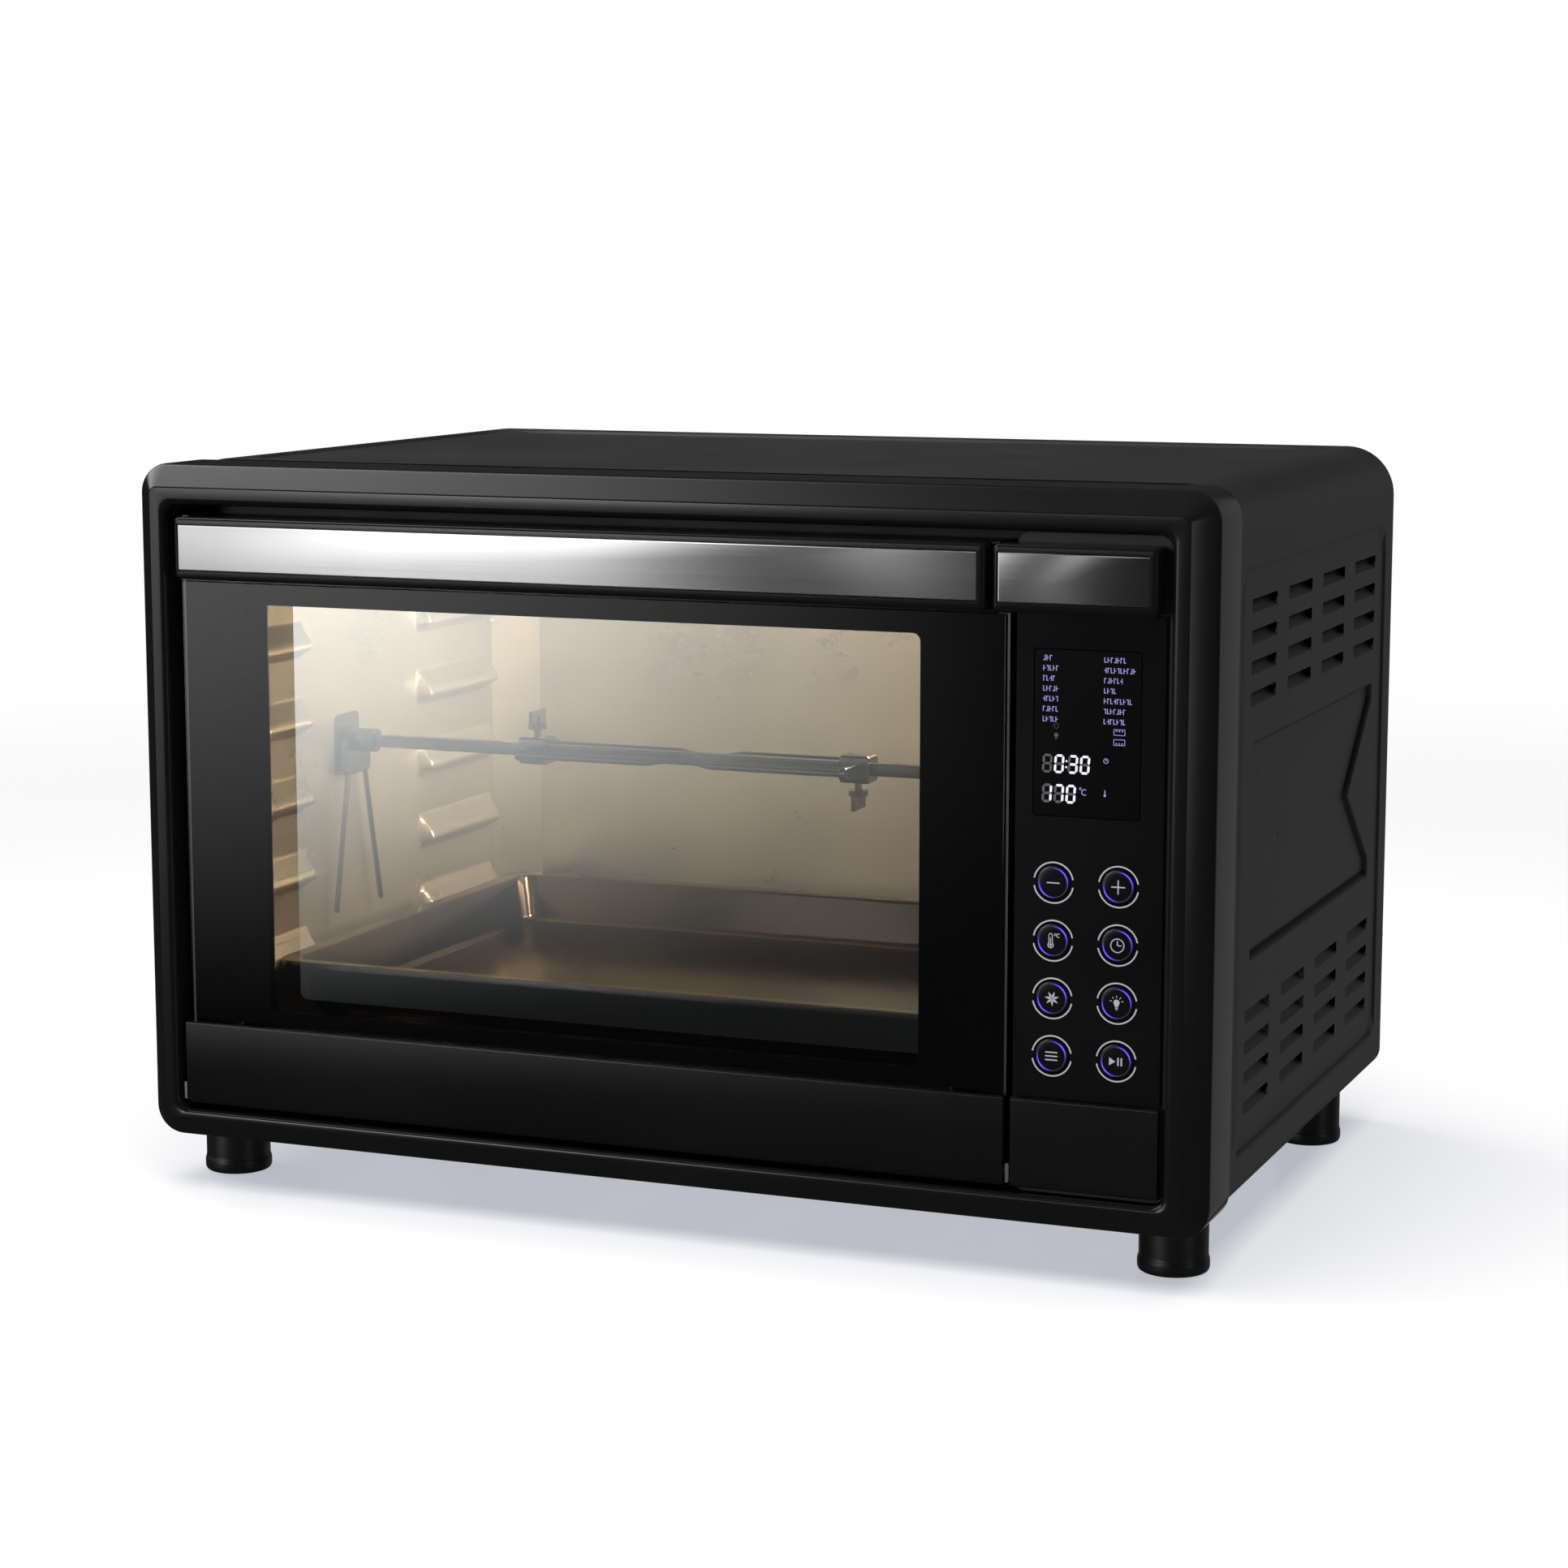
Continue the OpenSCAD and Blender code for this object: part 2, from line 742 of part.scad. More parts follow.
module spit_rod() {
    half = spit_side / 2;
    x0 = cav_x0 + 16;
    color(bright_steel) {
        block(x0, spit_y - half, spit_z - half, cav_x1 - 5, spit_y + half, spit_z + half);
        bar_x(cav_x0 + 3, x0 + 1, spit_y, spit_z, journal_r);
        bar_x(cav_x0 + 1.5, cav_x0 + 4, spit_y, spit_z, 6.3);
        bar_x(cav_x0 + 8, x0 + 3, spit_y, spit_z, 6.3);
    }
}

// Two-tined fork on the rod; out is the way its tines point along x
module spit_fork(hub_x, out) {
    half = spit_side / 2 + run_gap;
    tine_r = 1.8;
    reach = 24;
    tine_len = 72;
    color(bright_steel) translate([hub_x, yf(spit_y), spit_z]) {
        difference() {
            union() {
                translate([-8, -7, -7]) cube([16, 14, 14]);
                translate([-2, -reach, -3]) cube([4, 2 * reach, 6]);
            }
            translate([-9, -half, -half]) cube([18, 2 * half, 2 * half]);
            cylinder(h = 2 * reach, r = 2, center = true);
        }
        for (side = [-1, 1]) translate([0, side * (reach - 2), 0]) rotate([0, out * 90, 0]) {
            cylinder(h = tine_len, r = tine_r);
            translate([0, 0, tine_len - eps]) cylinder(h = 9, r1 = tine_r, r2 = 0.3);
        }
    }
}

// Screws that clamp the forks, one from above and one from below
module spit_thumbscrews() {
    color(steel) for (screw = [[fork_left_x, 1], [fork_right_x, -1]]) {
        translate([screw[0], yf(spit_y), spit_z]) rotate([screw[1] > 0 ? 0 : 180, 0, 0]) {
            translate([0, 0, spit_side / 2 + run_gap]) cylinder(h = 14, r = 1.95);
            translate([0, 0, 11]) cylinder(h = 3, r = 5);
            translate([-1, -8, 13]) cube([2, 16, 8]);
        }
    }
}

// ---------------------------------------------------------------- trays

// Box with sloped sides, wider at the top, below a rim height
module tray_form(grow, top, depth) {
    low = top - depth;
    x0 = tray_x0 + tray_rim - grow;
    x1 = tray_x1 - tray_rim + grow;
    y0 = tray_y0 + tray_rim - grow;
    y1 = tray_y1 - tray_rim + grow;
    intersection() {
        along_y(y0 - 1, y1 + 1) {
            polygon([[x0, top], [x1, top], [x1 - tray_slope, low], [x0 + tray_slope, low]]);
        }
        along_x(x0 - 1, x1 + 1) {
            polygon([[y0, top], [y1, top], [y1 - tray_slope, low], [y0 + tray_slope, low]]);
        }
    }
}

module baking_tray() {
    color(enamel) difference() {
        union() {
            translate([0, 0, tray_rim_z - tray_t]) linear_extrude(tray_t) {
                rrect(tray_x0, yf(tray_y0), tray_x1, yf(tray_y1), 12);
            }
            tray_form(tray_t, tray_rim_z - eps, tray_depth);
        }
        tray_form(0, tray_rim_z + eps, tray_depth - tray_t);
    }
}

// ---------------------------------------------------------------- door

module door_strip() {
    color(black) difference() {
        union() {
            along_x(door_x0, door_x1) {
                rect(-strip_proud, door_z0 + 2.5, 0, strip_z1);
                rect(-strip_proud + 2.5, door_z0, 9, 57);
                translate([-strip_proud + 2.5, door_z0 + 2.5]) circle(2.5);
                rect(-1, 82, 4, strip_z1);
            }
        }
        bar_x(door_x0 - 1, door_x0 + bore_depth, hinge_y, hinge_z, pin_r + run_gap);
        bar_x(door_x1 - bore_depth, door_x1 + 1, hinge_y, hinge_z, pin_r + run_gap);
    }
}

// Door outline above the strip, with the corner beside the panel trim cut away
module door_panel_outline(x0, z0, x1, z1) {
    difference() {
        rect(x0, z0, x1, z1);
        rect(notch_x, notch_z, x1 + 1, z1 + 1);
    }
}

module door_outer_glass() {
    color(smoked_glass) along_y(0, glass_t) {
        door_panel_outline(outer_glass_x0, strip_z1 + 0.3, outer_glass_x1, door_z1 - 1);
    }
}

module door_inner_frame() {
    x0 = door_x0 + 1;
    x1 = door_x1 - 0.8;
    z0 = 58;
    z1 = door_z1 - 0.5;
    front = glass_t + 0.2;
    color(satin_black) difference() {
        along_y(front, door_back) door_panel_outline(x0, z0, x1, z1);
        along_y(front - 1, door_back - 1) rect(pane_x0 - 0.2, pane_z0 - 0.2, pane_x1 + 0.2, pane_z1 + 0.2);
        along_y(front - 1, door_back + 1) {
            rrect(pane_x0 + lip, pane_z0 + lip, pane_x1 - lip, pane_z1 - lip, 8);
        }
        along_y(front - 1, door_back - frame_t) difference() {
            door_panel_outline(x0 + frame_t, z0 + frame_t, x1 - frame_t, z1 - frame_t);
            rect(pane_x0 - 1.4, pane_z0 - 1.4, pane_x1 + 1.4, pane_z1 + 1.4);
            rect(notch_x - frame_t, notch_z - frame_t, x1, z1);
        }
    }
}

module door_inner_glass() {
    color(clear_glass) along_y(inner_glass_y, inner_glass_y + glass_t) {
        rrect(pane_x0, pane_z0, pane_x1, pane_z1, 3);
    }
}

// Pull with its grip open below, and a shallow pocket in front for the plate
module pull_moulding(x0, x1, pocket_x0, pocket_x1, back) {
    r = 2;
    difference() {
        along_x(x0, x1) {
            rect(-handle_out, handle_z0 + r, back, door_z1 - r);
            rect(-handle_out + r, handle_z0, back, door_z1);
            for (z = [handle_z0 + r, door_z1 - r]) translate([-handle_out + r, z]) circle(r);
        }
        along_y(-handle_out - 1, -handle_out + plate_sunk + plate_t) {
            rect(pocket_x0, plate_z0, pocket_x1, plate_z0 + plate_h);
        }
    }
}

module steel_plate(x0, x1) {
    face = -handle_out + plate_sunk;
    along_y(face, face + plate_t) {
        rect(x0 + 0.1, plate_z0 + 0.1, x1 - 0.1, plate_z0 + plate_h - 0.1);
    }
}

module handle_moulding() {
    color(black) difference() {
        pull_moulding(handle_x0, handle_x1, plate_x0, plate_x0 + plate_w, 0);
        block(handle_x0 + 4, -handle_out + grip_wall, handle_z0 - 1, handle_x1 - 4, 1, door_z1 - 5);
    }
}

module handle_plate() {
    color(bright_steel) steel_plate(plate_x0, plate_x0 + plate_w);
}

// Bracket in the gap beside the door, carrying a hinge pin; out is the way the pin points
module hinge_bracket(plate_x, pin_x0, pin_x1) {
    color(bright_steel) {
        block(plate_x, hinge_y - 4.5, hinge_z - 4, plate_x + 1.8, face_y, hinge_z + 5);
        bar_x(pin_x0, pin_x1, hinge_y, hinge_z, pin_r);
    }
}

module hinge_brackets() {
    hinge_bracket(door_x0 - 2.9, door_x0 - 2, door_x0 + 13);
    hinge_bracket(door_x1 + 0.8, door_x1 - 13, door_x1 + 2);
}

// ---------------------------------------------------------------- control panel

module button_at(i) {
    x = button_x0 + (i % 2) * button_dx;
    z = button_z1 - floor(i / 2) * button_dz;
    translate([x, 0, z]) children();
}

module panel_housing() {
    color(black) difference() {
        along_y(housing_y, face_y) rrect(panel_x0 - 0.4, 42, housing_x1, 350.9, ring_inner_r - 0.6);
        along_y(housing_y + housing_t, face_y + 1) rrect(panel_x0 + 2, 44.5, housing_x1 - 2.5, 348.4, 3);
        along_y(housing_y - 1, housing_y + housing_t + 1) {
            rect(display_x0 - 1, display_z0 - 1, display_x1 + 1, display_z1 + 1);
        }
        for (i = [0:7]) button_at(i) bar_y(housing_y - 1, housing_y + 5, 0, 0, button_r + button_gap);
    }
}

module panel_glass() {
    color(smoked_glass) difference() {
        along_y(0, fascia_t) difference() {
            rect(panel_x0, strip_z1 + 0.3, panel_x1, handle_z0 - 0.5);
            rect(display_x0, display_z0, display_x1, display_z1);
        }
        for (i = [0:7]) button_at(i) bar_y(-1, fascia_t + 1, 0, 0, button_r + button_gap);
    }
}

module display_window() {
    color(smoked_glass) along_y(0.1, fascia_t) rect(
        display_x0 + display_gap, display_z0 + display_gap,
        display_x1 - display_gap, display_z1 - display_gap
    );
}

module panel_trim() {
    color(black) {
        pull_moulding(trim_x0, trim_x1, trim_plate_x0, trim_plate_x1, -0.5);
        block(panel_x0 + 2, -0.6, handle_z0 + 2, trim_x1 - 4, housing_y, door_z1 - 2);
    }
}

module panel_trim_plate() {
    color(bright_steel) steel_plate(trim_plate_x0, trim_plate_x1);
}

module panel_cover() {
    color(black) along_x(panel_x0, panel_x1) {
        rect(-strip_proud, door_z0 + 2.5, housing_y, strip_z1);
        rect(-strip_proud + 2.5, door_z0, housing_y, door_z0 + 3);
        translate([-strip_proud + 2.5, door_z0 + 2.5]) circle(2.5);
    }
}

// Cap with a rear flange that keeps it in the housing
module button_cap(i) {
    flange_y = housing_y + housing_t + 0.2;
    color(black) button_at(i) {
        bar_y(-button_proud, flange_y + 0.5, 0, 0, button_r);
        bar_y(flange_y, flange_y + 1, 0, 0, button_r + 1.4);
    }
}

// Circuit board with the switches under the buttons and the display's light box
module control_board() {
    switch_y = housing_y + housing_t + 2.4;
    board_z0 = 92;
    board_z1 = 304;
    rear = board_y + board_t - eps;
    color(board_green) {
        block(panel_x0 + 4, board_y, board_z0, panel_x1 - 4, board_y + board_t, board_z1);
        for (i = [0:7]) button_at(i) {
            block(-3, switch_y + 0.6, -3, 3, board_y + eps, 3);
            bar_y(switch_y, switch_y + 0.8, 0, 0, 1.7);
        }
        block(display_x0 + 2, fascia_t + 0.3, display_z0 + 2, display_x1 - 2, board_y + eps, display_z1 - 2);
        // Ribbon socket and processor
        block(panel_x0 + 14, rear, 110, panel_x0 + 30, board_y + 9, 118);
        block(panel_x0 + 34, rear, 150, panel_x0 + 50, board_y + 5, 166);
    }
}

// Upright board beside the cavity, its parts facing inwards
module power_board() {
    face_x = 262;
    face_in = face_x + eps;
    front = 140;
    low = 52;
    relay_pitch = 24;
    relay_w = 15;
    capacitor_r = 8;
    color(board_green) {
        block(face_x, front, low, face_x + board_t, front + 160, low + 98);
        for (i = [0:3]) {
            relay_y = front + 10 + i * relay_pitch;
            block(face_x - relay_w, relay_y, low + 8, face_in, relay_y + relay_w, low + 27);
        }
        // Transformer, capacitors and fuse
        block(face_x - 34, front + 112, low + 8, face_in, front + 152, low + 44);
        for (i = [0:1]) bar_x(face_x - 20, face_in, front + 30 + i * 22, low + 68, capacitor_r);
        block(face_x - 12, front + 75, low + 58, face_in, front + 105, low + 70);
    }
}

module temp_probe() {
    color(bright_steel) {
        bar_x(cav_x1 - 26, cav_x1 + 8, probe_y, probe_z, 2);
        bar_x(cav_x1 + cav_t + eps, cav_x1 + 6, probe_y, probe_z, 5);
    }
}

// Cord outlet through the rear plate
module mains_gland() {
    neck = 4;
    nose = 15;
    color(black) difference() {
        union() {
            bar_y(rear_plate_back - neck, rear_plate_back + 1, cord_x, cord_z, gland_neck_r);
            bar_y(rear_plate_back + eps, rear_plate_back + 3, cord_x, cord_z, 11);
            bar_y(rear_plate_back + 2, rear_plate_back + nose, cord_x, cord_z, 8);
        }
        bar_y(rear_plate_back - neck - 1, rear_plate_back + nose + 1, cord_x, cord_z, cord_r);
    }
}

// ---------------------------------------------------------------- assembly

outer_wrap();
rear_plate();
rear_bulge();
base_pan();
front_bezel();
seam_strip();
for (i = [0:3]) foot(i);
cavity_left_wall();
cavity_right_wall();
cavity_slab(cav_z1);  // cavity_ceiling
cavity_slab(cav_z0 - cav_t);  // cavity_floor
cavity_back();
cavity_face_frame();
crumb_tray();
heating_tube(heater_top_z);  // heater_top
heating_tube(heater_low_z);  // heater_bottom
heater_bushes();
fan_grille();
fan_motor();
spit_motor();
spit_bracket();
lamp_glass();
lamp_bulb();
lamp_holder();
panel_housing();
panel_glass();
display_window();
panel_trim();
panel_trim_plate();
panel_cover();
control_board();
power_board();
temp_probe();
mains_gland();
hinge_brackets();
door_strip();
door_outer_glass();
door_inner_frame();
door_inner_glass();
handle_moulding();
handle_plate();
fan_impeller();
cooling_blade();
spit_rod();
spit_fork(fork_left_x, 1);  // spit_fork_left
spit_fork(fork_right_x, -1);  // spit_fork_right
spit_thumbscrews();
spit_socket();
baking_tray();
for (i = [0:7]) button_cap(i);
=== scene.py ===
"""Looks of a countertop toaster oven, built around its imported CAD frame.

Lengths in this file are millimetres in the CAD frame: +X right, -Y towards the user, +Z up.
A depth is measured backwards from the outer face of the door glass.
"""

import logging
import math
from dataclasses import dataclass
from enum import Enum
from typing import Callable

import bmesh
import bpy
import numpy as np
from mathutils import Matrix, Vector


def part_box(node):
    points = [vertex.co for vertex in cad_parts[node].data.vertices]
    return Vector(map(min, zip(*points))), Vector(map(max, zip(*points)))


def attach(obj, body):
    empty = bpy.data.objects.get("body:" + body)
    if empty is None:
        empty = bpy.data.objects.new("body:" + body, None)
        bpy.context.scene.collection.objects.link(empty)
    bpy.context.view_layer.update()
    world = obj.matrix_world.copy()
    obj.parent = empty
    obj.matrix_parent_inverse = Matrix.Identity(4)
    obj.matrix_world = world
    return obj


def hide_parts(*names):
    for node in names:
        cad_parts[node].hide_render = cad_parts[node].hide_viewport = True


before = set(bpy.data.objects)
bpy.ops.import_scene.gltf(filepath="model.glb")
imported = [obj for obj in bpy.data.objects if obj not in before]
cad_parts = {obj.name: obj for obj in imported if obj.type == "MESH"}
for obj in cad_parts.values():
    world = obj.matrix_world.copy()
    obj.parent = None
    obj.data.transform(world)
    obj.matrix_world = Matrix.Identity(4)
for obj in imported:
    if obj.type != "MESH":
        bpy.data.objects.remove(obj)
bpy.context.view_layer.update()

MM = 0.001
SHARP = 34.0
SQUARE = 0.01
LOG = logging.getLogger("oven")
Array = np.ndarray
Colour = tuple[float, float, float]
VentRows = tuple[tuple[float, ...], float, float, int]


def box_mm(node: str) -> tuple[Array, Array]:
    """Corners of a CAD node.

    Args:
        node: The node's name.

    Returns:
        Its lowest and highest corner, in millimetres.
    """
    low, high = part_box(node)
    return np.array(low) / MM, np.array(high) / MM


GLASS_Y = box_mm("door_outer_glass")[0][1]


# ---------------------------------------------------------------- surface mathematics


def smooth(t: Array) -> Array:
    """Smooth step 3t^2 - 2t^3 of t held between 0 and 1."""
    t = np.clip(t, 0.0, 1.0)
    return t * t * (3.0 - 2.0 * t)


def fade_in(distance: Array, width: float) -> Array:
    """1 inside a figure, 0 outside, over a band of that width centred on its edge."""
    return smooth(0.5 - distance / width)


def lines(low: float, high: float, coarse: float, fine: list[tuple[float, float, float]],
          exact: list[float]) -> Array:
    """Positions of grid lines, closer together where a surface has detail.

    Args:
        low: First position.
        high: Last position.
        coarse: Largest step.
        fine: Spans as (start, end, step).
        exact: Positions that must be lines.

    Returns:
        Rising positions. Lines nearer than a tenth of a millimetre to an exact one are dropped.
    """
    found = [np.linspace(low, high, int((high - low) / coarse) + 2)]
    for start, end, step in fine:
        found.append(np.linspace(start, end, int(round((end - start) / step)) + 1))
    loose = np.concatenate(found)
    fixed = np.array(sorted({low, high, *exact}))
    gap = np.abs(loose[:, None] - fixed[None, :]).min(axis=1)
    merged = np.sort(np.concatenate([loose[gap > 0.1], fixed]))
    step_on = np.concatenate([[True], np.diff(merged) > 0.04])
    return merged[step_on | np.isin(merged, fixed)]


def rounded_box_distance(a: Array, b: Array, low: tuple[float, float],
                         high: tuple[float, float], radius: float) -> Array:
    """Signed distance to a rounded rectangle: the length of the outer part of the offset from
    the inset rectangle, plus its inner part, less the corner radius.

    Args:
        a: First coordinates.
        b: Second coordinates.
        low: Lowest corner.
        high: Highest corner.
        radius: Corner radius.

    Returns:
        Distances, negative inside.
    """
    qa = np.abs(a - (low[0] + high[0]) / 2) - (high[0] - low[0]) / 2 + radius
    qb = np.abs(b - (low[1] + high[1]) / 2) - (high[1] - low[1]) / 2 + radius
    outside = np.hypot(np.maximum(qa, 0), np.maximum(qb, 0))
    return outside + np.minimum(np.maximum(qa, qb), 0) - radius


def soften(corners: list[tuple[float, float]], radii: list[float], closed: bool = False,
           steps: int = 5) -> Array:
    """Polyline with rounded corners. A corner C becomes (1-t)^2 A + 2t(1-t) C + t^2 B, where
    A and B lie one radius back and ahead along its two edges.

    Args:
        corners: Points of the polyline.
        radii: One radius per corner; 0 keeps the corner.
        closed: Joins the last corner to the first.
        steps: Pieces of each curve.

    Returns:
        Points as an (n, 2) array.
    """
    points = np.array(corners, float)
    t = np.linspace(0.0, 1.0, steps + 1)[:, None]
    out = []
    for i, (corner, radius) in enumerate(zip(points, radii)):
        at_end = not closed and i in (0, len(points) - 1)
        if at_end or radius == 0:
            out.append(corner[None, :])
            continue
        back = points[i - 1] - corner
        ahead = points[(i + 1) % len(points)] - corner
        start = corner + back / np.linalg.norm(back) * radius
        end = corner + ahead / np.linalg.norm(ahead) * radius
        out.append((1 - t) ** 2 * start + 2 * t * (1 - t) * corner + t ** 2 * end)
    return np.concatenate(out)


@dataclass(frozen=True)
class Rect:
    """Rounded rectangle in two coordinates, a across and b up."""

    a0: float
    a1: float
    b0: float
    b1: float
    r: float = 0.3

    def inset(self, by: float) -> "Rect":
        """The same rectangle with every side moved in, its corners kept concentric."""
        return Rect(self.a0 + by, self.a1 - by, self.b0 + by, self.b1 - by,
                    max(self.r - by, 0.15))

    def rounded(self, r: float) -> "Rect":
        """The same rectangle with another corner radius."""
        return Rect(self.a0, self.a1, self.b0, self.b1, r)

    def mix(self, other: "Rect", t: float) -> "Rect":
        """The rectangle a share t of the way from this one to another."""
        return Rect(*[(1 - t) * getattr(self, k) + t * getattr(other, k)
                      for k in ("a0", "a1", "b0", "b1", "r")])

    def ring(self, steps: int = 6) -> Array:
        """Points round the outline, anticlockwise: each corner's centre plus r (cos, sin).

        Args:
            steps: Pieces of each corner.

        Returns:
            Points as a (4 (steps + 1), 2) array.
        """
        turn = np.linspace(0.0, math.pi / 2, steps + 1)
        centres = [(self.a1 - self.r, self.b0 + self.r, -math.pi / 2),
                   (self.a1 - self.r, self.b1 - self.r, 0.0),
                   (self.a0 + self.r, self.b1 - self.r, math.pi / 2),
                   (self.a0 + self.r, self.b0 + self.r, math.pi)]
        return np.concatenate([np.stack([a + self.r * np.cos(turn + first),
                                         b + self.r * np.sin(turn + first)], axis=1)
                               for a, b, first in centres])


def front_rect(node: str, r: float = 0.3) -> Rect:
    """A CAD node's extent seen from the front, as a rectangle in x and z."""
    low, high = box_mm(node)
    return Rect(low[0], high[0], low[2], high[2], r)


def upright(x: Array, y: float, z: Array) -> Array:
    """Points with those x and z, all at one y."""
    return np.stack([x, y + 0 * x, z], axis=-1)


class Axis(Enum):
    """Direction in which the sections of a loft follow each other."""

    X = (2, 0, 1)
    Y = (0, 2, 1)
    Z = (0, 1, 2)


def loft(sections: list[tuple[Rect, float]], axis: Axis, steps: int = 6) -> Array:
    """Rings of rounded rectangles set one behind the other.

    Args:
        sections: Each ring's rectangle, and its place along the axis.
        axis: The axis; the rectangles lie across it.
        steps: Pieces of each corner.

    Returns:
        A grid of points, one row per ring.
    """
    rings = np.stack([rect.ring(steps) for rect, _ in sections])
    along = np.broadcast_to(np.array([c for _, c in sections])[:, None], rings.shape[:2])
    parts = (rings[..., 0], rings[..., 1], along)
    return np.stack([parts[k] for k in axis.value], axis=-1)


def tube(path: Array, radius: Array | float, sides: int = 12) -> Array:
    """Round bar along a path: at each point P, P + r (U cos w + V sin w), with U and V
    square to the path.

    Args:
        path: Points as an (n, 3) array.
        radius: One radius, or one per point.
        sides: Points round the bar.

    Returns:
        A grid of points, one row per point of the path.
    """
    along = np.gradient(path, axis=0)
    along /= np.linalg.norm(along, axis=1, keepdims=True)
    helper = np.array([0.0, 0.0, 1.0]) if abs(along[:, 2]).mean() < 0.9 else np.array([1.0, 0, 0])
    u = np.cross(along, helper)
    u /= np.linalg.norm(u, axis=1, keepdims=True)
    v = np.cross(along, u)
    w = np.linspace(0.0, 2 * math.pi, sides, endpoint=False)[None, :, None]
    r = np.broadcast_to(np.asarray(radius, float), (len(path),))[:, None, None]
    return path[:, None, :] + r * (u[:, None, :] * np.cos(w) + v[:, None, :] * np.sin(w))


def lathe(profile: Array, centre: tuple[float, float, float], axis: Axis, sides: int = 48) -> Array:
    """Surface of revolution: each (radius, height) of the profile turned about an axis.

    Args:
        profile: Radii and heights as an (n, 2) array.
        centre: Point on the axis at height 0.
        axis: The axis.
        sides: Points round the turn.

    Returns:
        A grid of points, one row per profile point.
    """
    w = np.linspace(0.0, 2 * math.pi, sides, endpoint=False)[None, :]
    radius, height = profile[:, :1], profile[:, 1:]
    parts = (radius * np.cos(w), radius * np.sin(w), height + 0 * w)
    return np.stack([parts[k] for k in axis.value], axis=-1) + np.array(centre)


class Surface:
    """Points and faces gathered for one piece, in millimetres."""

    def __init__(self) -> None:
        """Starts empty."""
        self.points: list[Array] = []
        self.faces: list[list[int]] = []
        self.count = 0
        # painted light per point: painted shade on the wrap, painted glints on the button rings
        self.marks: list[Array] = []

    def grid(self, points: Array, wrap_rows: bool = False, wrap_cols: bool = False,
             keep: Array | None = None, painted_light: Array | None = None) -> Array:
        """Adds a grid of points and the four-sided faces between them.

        Args:
            points: A (rows, columns, 3) array.
            wrap_rows: Joins the last row to the first.
            wrap_cols: Joins the last column to the first.
            keep: Which faces to make, as a (rows - 1, columns - 1) mask.
            painted_light: A number per point, kept as the piece's "mark" attribute.

        Returns:
            The points' numbers, in the same grid.
        """
        rows, cols = points.shape[:2]
        index = self.count + np.arange(rows * cols).reshape(rows, cols)
        self.points.append(points.reshape(-1, 3))
        self.marks.append(np.zeros(rows * cols) if painted_light is None else painted_light.ravel())
        self.count += rows * cols
        i = np.vstack([index, index[:1]]) if wrap_rows else index
        i = np.hstack([i, i[:, :1]]) if wrap_cols else i
        quads = np.stack([i[:-1, :-1], i[1:, :-1], i[1:, 1:], i[:-1, 1:]], axis=-1)
        quads = quads.reshape(-1, 4) if keep is None else quads[keep]
        self.faces.extend(quads.tolist())
        return index

    def cap(self, ring: Array, back: bool = False) -> None:
        """Closes a ring of points with one face, turned round if it is the back one."""
        self.faces.append(ring[::-1].tolist() if back else ring.tolist())

    def closed_loft(self, grid: Array) -> None:
        """Adds a grid of rings with both ends closed."""
        index = self.grid(grid, wrap_cols=True)
        self.cap(index[0])
        self.cap(index[-1], back=True)

    def piece(self, name: str, finish: "Finish", body: str, replaces: tuple[str, ...] = (),
              closed: bool = True, sharp: float = SHARP) -> bpy.types.Object:
        """Makes the object, with its finish, on its body.

        Args:
            name: The piece's name.
            finish: Its finish.
            body: The CAD body it rides on.
            replaces: CAD nodes it stands for.
            closed: Merges doubled points and turns all faces outwards.
            sharp: Edges over this many degrees stay sharp.

        Returns:
            The new object.
        """
        mesh = bpy.data.meshes.new(name)
        mesh.from_pydata((np.concatenate(self.points) * MM).tolist(), [], self.faces)
        # the attribute holds painted light: shade beside the wrap's steps, glints on the button
        # rings
        marks = mesh.attributes.new("painted_light", "FLOAT", "POINT")
        marks.data.foreach_set("value", np.concatenate(self.marks).astype(np.float32))
        if closed:
            work = bmesh.new()
            work.from_mesh(mesh)
            bmesh.ops.remove_doubles(work, verts=work.verts, dist=1e-6)
            bmesh.ops.recalc_face_normals(work, faces=work.faces)
            work.to_mesh(mesh)
            work.free()
        mesh.shade_smooth()
        mesh.set_sharp_from_angle(angle=math.radians(sharp))
        made = bpy.data.objects.new(name, mesh)
        bpy.context.scene.collection.objects.link(made)
        made.data.materials.append(finish.material())
        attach(made, body)
        if replaces:
            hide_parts(*replaces)
        LOG.info("made %s on %s: %d faces", name, body, len(self.faces))
        return made


def bevelled(piece: bpy.types.Object, width: float) -> None:
    """Rounds a piece's sharp edges with a live bevel of that width."""
    bevel = piece.modifiers.new("edges", "BEVEL")
    bevel.width = width * MM
    bevel.segments = 3
    bevel.limit_method = "ANGLE"
    bevel.angle_limit = math.radians(SHARP)


def sheet_metal(piece: bpy.types.Object, thickness: float) -> None:
    """Gives an open surface the thickness of its sheet, inwards."""
    solid = piece.modifiers.new("sheet", "SOLIDIFY")
    solid.thickness = thickness * MM
    solid.offset = -1


# ---------------------------------------------------------------- shader mathematics


